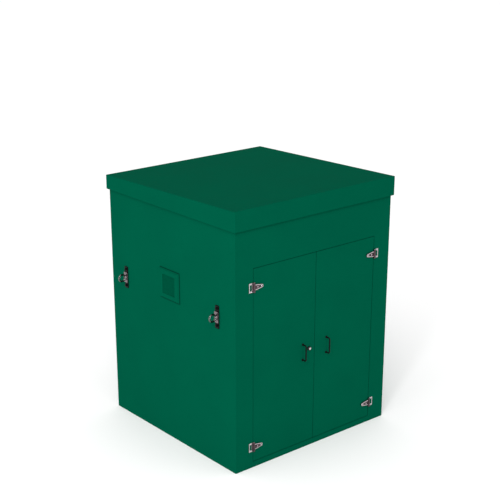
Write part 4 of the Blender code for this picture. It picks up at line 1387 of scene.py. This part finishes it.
@dataclass
class ZoneValve:
    """The bronze body with its bolted cover, the relief valve and the sensing line."""

    check_x: float = 72 * MM
    cover_radius: float = 59 * MM
    cover: float = 12 * MM
    dome: float = 37 * MM
    dome_height: float = 12 * MM
    bolt_circle: float = 50.5 * MM
    bolt: float = 10 * MM
    relief: float = 42 * MM
    relief_waist: float = 36 * MM
    relief_outlet: float = 20 * MM
    relief_joint: float = 0.58
    screw: float = 7 * MM
    screw_boss: float = 6 * MM
    tube: float = 3.2 * MM
    tube_x: float = -100 * MM
    tube_foot: float = 24 * MM
    tube_bend: float = 14 * MM
    tube_nut: float = 13 * MM
    lift: float = 10 * MM

    def build(self) -> None:
        """Builds the assembly."""
        body = Model()
        body.copy("zone_valve_body")
        body.piece("zone_valve_casting", BRONZE, "cabinet", ["zone_valve_body"])
        self.cover_plate()
        self.relief_valve()
        self.check_springs()
        self.sensing_line()

    def cover_plate(self) -> None:
        """The cover over both checks, domed over each, and its bolts."""
        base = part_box("check_cover")[1].z - self.cover - self.dome_height
        right, left = (Vector((way * self.check_x, LINE.y, base)) for way in (1, -1))
        outline = arc(right, ACROSS, BACK, self.cover_radius, -90, 90, 28)
        outline += arc(left, ACROSS, BACK, self.cover_radius, 90, 270, 28)
        model = Model()
        model.plate(outline, UP * self.cover, 1.5 * MM, 3)
        top, dome, rise = base + self.cover, self.dome, self.dome_height
        profile = [(0, -MM), (dome, -MM), (dome - MM, 2 * MM), (dome * 0.94, rise * 0.5)]
        profile += [(dome * 0.84, rise * 0.85), (dome * 0.7, rise), (0, rise)]
        for x in (-self.check_x, self.check_x):
            model.turn(profile, (x, LINE.y, top))
        model.piece("check_cover_casting", BRONZE, "cabinet", ["check_cover"])
        bolts = Model()
        places = arc(right, ACROSS, BACK, self.bolt_circle, -90, 90, 4)
        places += arc(left, ACROSS, BACK, self.bolt_circle, 90, 270, 4)
        places += [Vector((0, LINE.y + way * self.bolt_circle, base)) for way in (-1, 1)]
        for place in places:
            bolt(bolts, (place.x, place.y, top), UP, self.bolt)
        bolts.piece("check_cover_bolts", STEEL, "cabinet")

    def relief_valve(self) -> None:
        """The relief valve's two-part body, its flange screws and its open outlet."""
        low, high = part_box("relief_valve_body")
        height = high.z - low.z
        joint = height * self.relief_joint
        r, w, outlet = self.relief, self.relief_waist, self.relief_outlet
        profile = [(0, 13 * MM), (outlet, 12 * MM), (outlet, 0), (r - 4 * MM, 0), (r, 3 * MM), (r, 9 * MM)]
        profile += [(w, 14 * MM), (w, joint - 10 * MM), (r, joint - 7 * MM), (r, joint - 0.5 * MM)]
        profile += [(r - MM, joint), (r, joint + 0.5 * MM), (r, joint + 7 * MM), (w, joint + 10 * MM)]
        profile += [(w, height - 12 * MM), (r, height - 8 * MM), (r, height), (0, height)]
        model = Model()
        model.turn(profile, (0, LINE.y, low.z))
        screws = Model()
        rise = UP * (7 * MM)
        for place in arc(Vector((0, LINE.y, low.z + joint)), ACROSS, BACK, r - MM, 22, 337, 7):
            model.rod(place - rise, place + rise, self.screw_boss, MM, 20)
            bolt(screws, place + rise, UP, self.screw)
        model.piece("relief_valve_casting", BRONZE, "cabinet", ["relief_valve_body"])
        screws.piece("relief_flange_screws", STEEL, "cabinet")

    def check_springs(self) -> None:
        """The two check springs, which shorten from below as their poppets lift."""
        for name in ("first", "second"):
            node = f"{name}_check_spring"
            model = Model()
            model.copy(node)
            coil = model.piece(f"{name}_check_coil", WIRE, "cabinet", [node])
            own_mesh(coil)

    def sensing_line(self) -> None:
        """The thin tube that takes the inlet pressure to the relief valve."""
        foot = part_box("relief_valve_body")[0].z + self.tube_foot
        turn = Vector((self.tube_x + self.tube_bend, LINE.y, foot + self.tube_bend))
        end = Vector((-self.relief_waist, LINE.y, foot))
        start = LINE.at(self.tube_x, 0, -34 * MM)
        model = Model()
        model.pipe([start, *arc(turn, ACROSS, UP, self.tube_bend, 180, 270, 10), end], self.tube, 16)
        model.piece("relief_sensing_tube", COPPER, "cabinet")
        nuts = Model()
        nuts.prism(LINE.at(self.tube_x, 0, -50 * MM), UP, self.tube_nut, 14 * MM)
        nuts.prism(end - ACROSS * (16 * MM), ACROSS, self.tube_nut, 17 * MM)
        nuts.piece("relief_sensing_nuts", BRASS, "cabinet")


@dataclass
class Tundish:
    """The open funnel and its drain."""

    mouth: float = 48 * MM
    drain: float = 21 * MM
    wall: float = 3 * MM
    cone: float = 45 * MM
    bead: float = 1.5 * MM
    sleeve: float = 2 * MM

    def build(self) -> None:
        """Builds the funnel with a rolled rim."""
        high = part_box("tundish")[1].z
        m, d, w = self.mouth, self.drain, self.wall
        rim, sleeve = m + self.bead, d + self.sleeve
        shoulder = high - self.cone
        foot = shoulder - self.cone
        profile = [(d - w, 0), (d, 0), (d, foot - 20 * MM), (sleeve, foot - 18 * MM), (sleeve, foot - 2 * MM)]
        profile += [(d, foot), (m, shoulder), (m, high - 5 * MM), (rim, high - 4 * MM), (rim, high - MM)]
        profile += [(m, high), (m - w, high), (m - w, shoulder + w / 2), (d - w, foot), (d - w, 0)]
        model = Model()
        model.turn(profile, (0, LINE.y, 0), sides=56)
        model.piece("tundish_moulding", DRAIN, "cabinet", ["tundish"])


@dataclass
class TestCock:
    """A small quarter-turn cock: threaded root, hexagon, neck and outlet."""

    name: str
    radius: float = 8 * MM
    bore: float = 3 * MM
    hexagon: float = 20 * MM
    hexagon_half: float = 10 * MM
    neck: float = 7.6 * MM
    neck_height: float = 14 * MM
    neck_edge: float = 0.8 * MM
    outlet: float = 8 * MM
    thread: float = 0.7 * MM
    pitch: float = 1.8 * MM
    gap: float = 2 * MM

    def build(self) -> None:
        """Builds the cock and its stem."""
        low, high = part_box(f"{self.name}_test_cock")
        stem_low, stem_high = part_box(f"{self.name}_test_cock_stem")
        x = (stem_low.x + stem_high.x) / 2
        z = high.z - self.neck_height
        length, middle = high.y - low.y, (low.y + high.y) / 2
        half, inner = self.hexagon_half, length - self.outlet
        profile: Profile = [(0, 0)]
        profile += self.threads(0, length / 2 - half)
        profile += self.threads(length / 2 + half + self.gap, length - MM)
        profile += [(self.radius - MM, length), (self.bore, length), (self.bore, inner), (0, inner)]
        model = Model()
        model.turn(profile, (x, high.y, z), FRONT, 32)
        model.prism((x, middle + half, z), FRONT, self.hexagon, 2 * half)
        model.rod((x, middle, z), (x, middle, z + self.neck_height), self.neck, self.neck_edge, 32)
        model.piece(f"{self.name}_cock_body", BRASS, "cabinet", [f"{self.name}_test_cock"])
        stem = Model()
        stem.copy(f"{self.name}_test_cock_stem", 0.2 * MM)
        stem.piece(f"{self.name}_cock_key", BRASS, f"{self.name}_cock_stem", [f"{self.name}_test_cock_stem"])

    def threads(self, start: float, end: float) -> Profile:
        """Turned ridges between two heights.

        Args:
            start: The height of the first ridge.
            end: The height that they stop at.

        Returns:
            Radius and height pairs.
        """
        count = int((end - start) / self.pitch)
        ridges: Profile = []
        for i in range(count):
            at = start + (end - start) * i / count
            ridges += [(self.radius - self.thread, at), (self.radius, at + self.pitch * 0.5)]
        return ridges + [(self.radius - self.thread, end)]


# ---------------------------------------------------------------- the studio


@dataclass(frozen=True)
class Lamp:
    """A square light: where it is in metres, its side in metres and its power in watts."""

    name: str
    place: tuple[float, float, float]
    size: float
    power: float


LAMPS = (
    Lamp("key", (-6.5, -0.6, 1.3), 3.0, 95),
    Lamp("glint_left", (-4.2, -3.2, 4.2), 0.6, 70),
    Lamp("glint_low", (-1.0, -5.6, 0.9), 0.5, 30),
)


@dataclass
class Studio:
    """The floor, lights and camera.

    Attributes:
        azimuth: The camera's bearing in degrees, from straight in front.
        elevation: The camera's height above the horizon in degrees.
        distance: How far the camera is from its aim, in metres.
        aim: What the camera and the lights face.
        lens: Focal length in millimetres.
        shift: The camera's lens shift.
        floor_size: The floor's side in metres.
        sky_low: The sky's strength at eye level.
        sky_high: The sky's strength overhead.
        fill: The share of the sky that lights the object.
        overhead: Strength of the high light.
        overhead_way: The direction that the high light comes from.
        overhead_spread: How wide the high light is, in degrees.
    """

    azimuth: float = -39.98
    elevation: float = 19.89
    distance: float = 7.137
    aim: tuple[float, float, float] = (0.0, 0.006, 0.7935)
    lens: float = 82.79
    shift: tuple[float, float] = (0.0036, 0.088)
    floor_size: float = 120.0
    sky_low: float = 1.06
    sky_high: float = 1.0
    fill: float = 0.85
    overhead: float = 0.9
    overhead_way: tuple[float, float, float] = (-0.85, -0.85, 1.15)
    overhead_spread: float = 28.0

    def build(self) -> None:
        """Builds the studio."""
        bpy.context.scene.view_settings.view_transform = "Standard"
        self.floor()
        self.lights()
        self.camera()

    def floor(self) -> None:
        """A plain pale floor."""
        bm = bmesh.new()
        bmesh.ops.create_grid(bm, x_segments=1, y_segments=1, size=self.floor_size / 2)
        mesh = bpy.data.meshes.new("studio_floor")
        bm.to_mesh(mesh)
        bm.free()
        thing = bpy.data.objects.new("studio_floor", mesh)
        bpy.context.scene.collection.objects.link(thing)
        material = bpy.data.materials.new("pale_floor")
        material.use_nodes = True
        shader = material.node_tree.nodes["Principled BSDF"]
        shader.inputs["Base Color"].default_value = linear("#FBFBFB")
        shader.inputs["Roughness"].default_value = 0.9
        shader.inputs["Specular IOR Level"].default_value = 0.0
        mesh.materials.append(material)

    def lights(self) -> None:
        """An even sky, a soft high light, and small lights for the glints on the metal."""
        world = bpy.data.worlds.new("studio_sky")
        bpy.context.scene.world = world
        world.use_nodes = True
        tree = world.node_tree
        place = add_node(tree, "ShaderNodeTexCoord").outputs["Generated"]
        height = add_node(tree, "ShaderNodeSeparateXYZ", {"Vector": place}).outputs["Z"]
        camera_ray = add_node(tree, "ShaderNodeLightPath").outputs["Is Camera Ray"]
        factors = {
            0: remap(tree, height, (0.0, 1.0), (self.sky_low, self.sky_high)),
            1: remap(tree, camera_ray, (0.0, 1.0), (self.fill, 1.0)),
        }
        strength = add_node(tree, "ShaderNodeMath", factors, operation="MULTIPLY")
        back = tree.nodes["Background"]
        back.inputs["Color"].default_value = (1, 1, 1, 1)
        tree.links.new(strength.outputs["Value"], back.inputs["Strength"])
        self.high_light()
        for lamp in LAMPS:
            self.area(lamp)

    def high_light(self) -> None:
        """A very soft light that falls on the front, the left side and the roof alike."""
        data = bpy.data.lights.new("overhead", "SUN")
        data.energy = self.overhead
        data.angle = radians(self.overhead_spread)
        thing = bpy.data.objects.new("overhead", data)
        bpy.context.scene.collection.objects.link(thing)
        thing.rotation_euler = (-Vector(self.overhead_way)).to_track_quat("-Z", "Y").to_euler()

    def area(self, lamp: Lamp) -> None:
        """A square light that faces the middle of the object.

        Args:
            lamp: The light's name, place, size and power.
        """
        data = bpy.data.lights.new(lamp.name, "AREA")
        data.size = lamp.size
        data.energy = lamp.power
        thing = bpy.data.objects.new(lamp.name, data)
        bpy.context.scene.collection.objects.link(thing)
        thing.location = lamp.place
        thing.rotation_euler = (Vector(self.aim) - Vector(lamp.place)).to_track_quat("-Z", "Y").to_euler()

    def camera(self) -> None:
        """The camera at the main view's angle."""
        data = bpy.data.cameras.new("camera")
        data.lens = self.lens
        data.shift_x, data.shift_y = self.shift
        thing = bpy.data.objects.new("camera", data)
        bpy.context.scene.collection.objects.link(thing)
        a, e = radians(self.azimuth), radians(self.elevation)
        back = Vector((sin(a) * cos(e), -cos(a) * cos(e), sin(e)))
        thing.location = Vector(self.aim) + back * self.distance
        thing.rotation_euler = (-back).to_track_quat("-Z", "Y").to_euler()
        bpy.context.scene.camera = thing


def main() -> None:
    """Builds every sub-assembly."""
    logging.basicConfig(level=logging.INFO, format="%(name)s: %(message)s")
    Cabinet().build()
    Vent().build()
    Doors().build()
    Hinges().build()
    Lock().build()
    LiftingPoints().build()
    for side, sign in (("inlet", -1), ("outlet", 1)):
        Riser(side, sign).build()
        StopValve(side, sign).build()
    ZoneValve().build()
    Tundish().build()
    for name in ("supply", "inlet", "zone", "outlet"):
        TestCock(name).build()
    for slot_finish, nodes in leftover_nodes().items():
        carry_over(slot_finish, nodes)
    Studio().build()


def leftover_nodes() -> dict[Finish, list[str]]:
    """The CAD nodes that nothing replaces, by finish.

    Returns:
        Each finish with the nodes that take it.
    """
    by_slot = {finish.slot: finish for finish in reversed(list(FINISHES.values()))}
    found: dict[Finish, list[str]] = {}
    for entry in frame["record"]["subparts"]:
        node = entry["node"]
        if not frame["nodes"][node].hide_render:
            found.setdefault(by_slot[entry["material_slot"]], []).append(node)
    return found


if __name__ == "__main__":
    main()
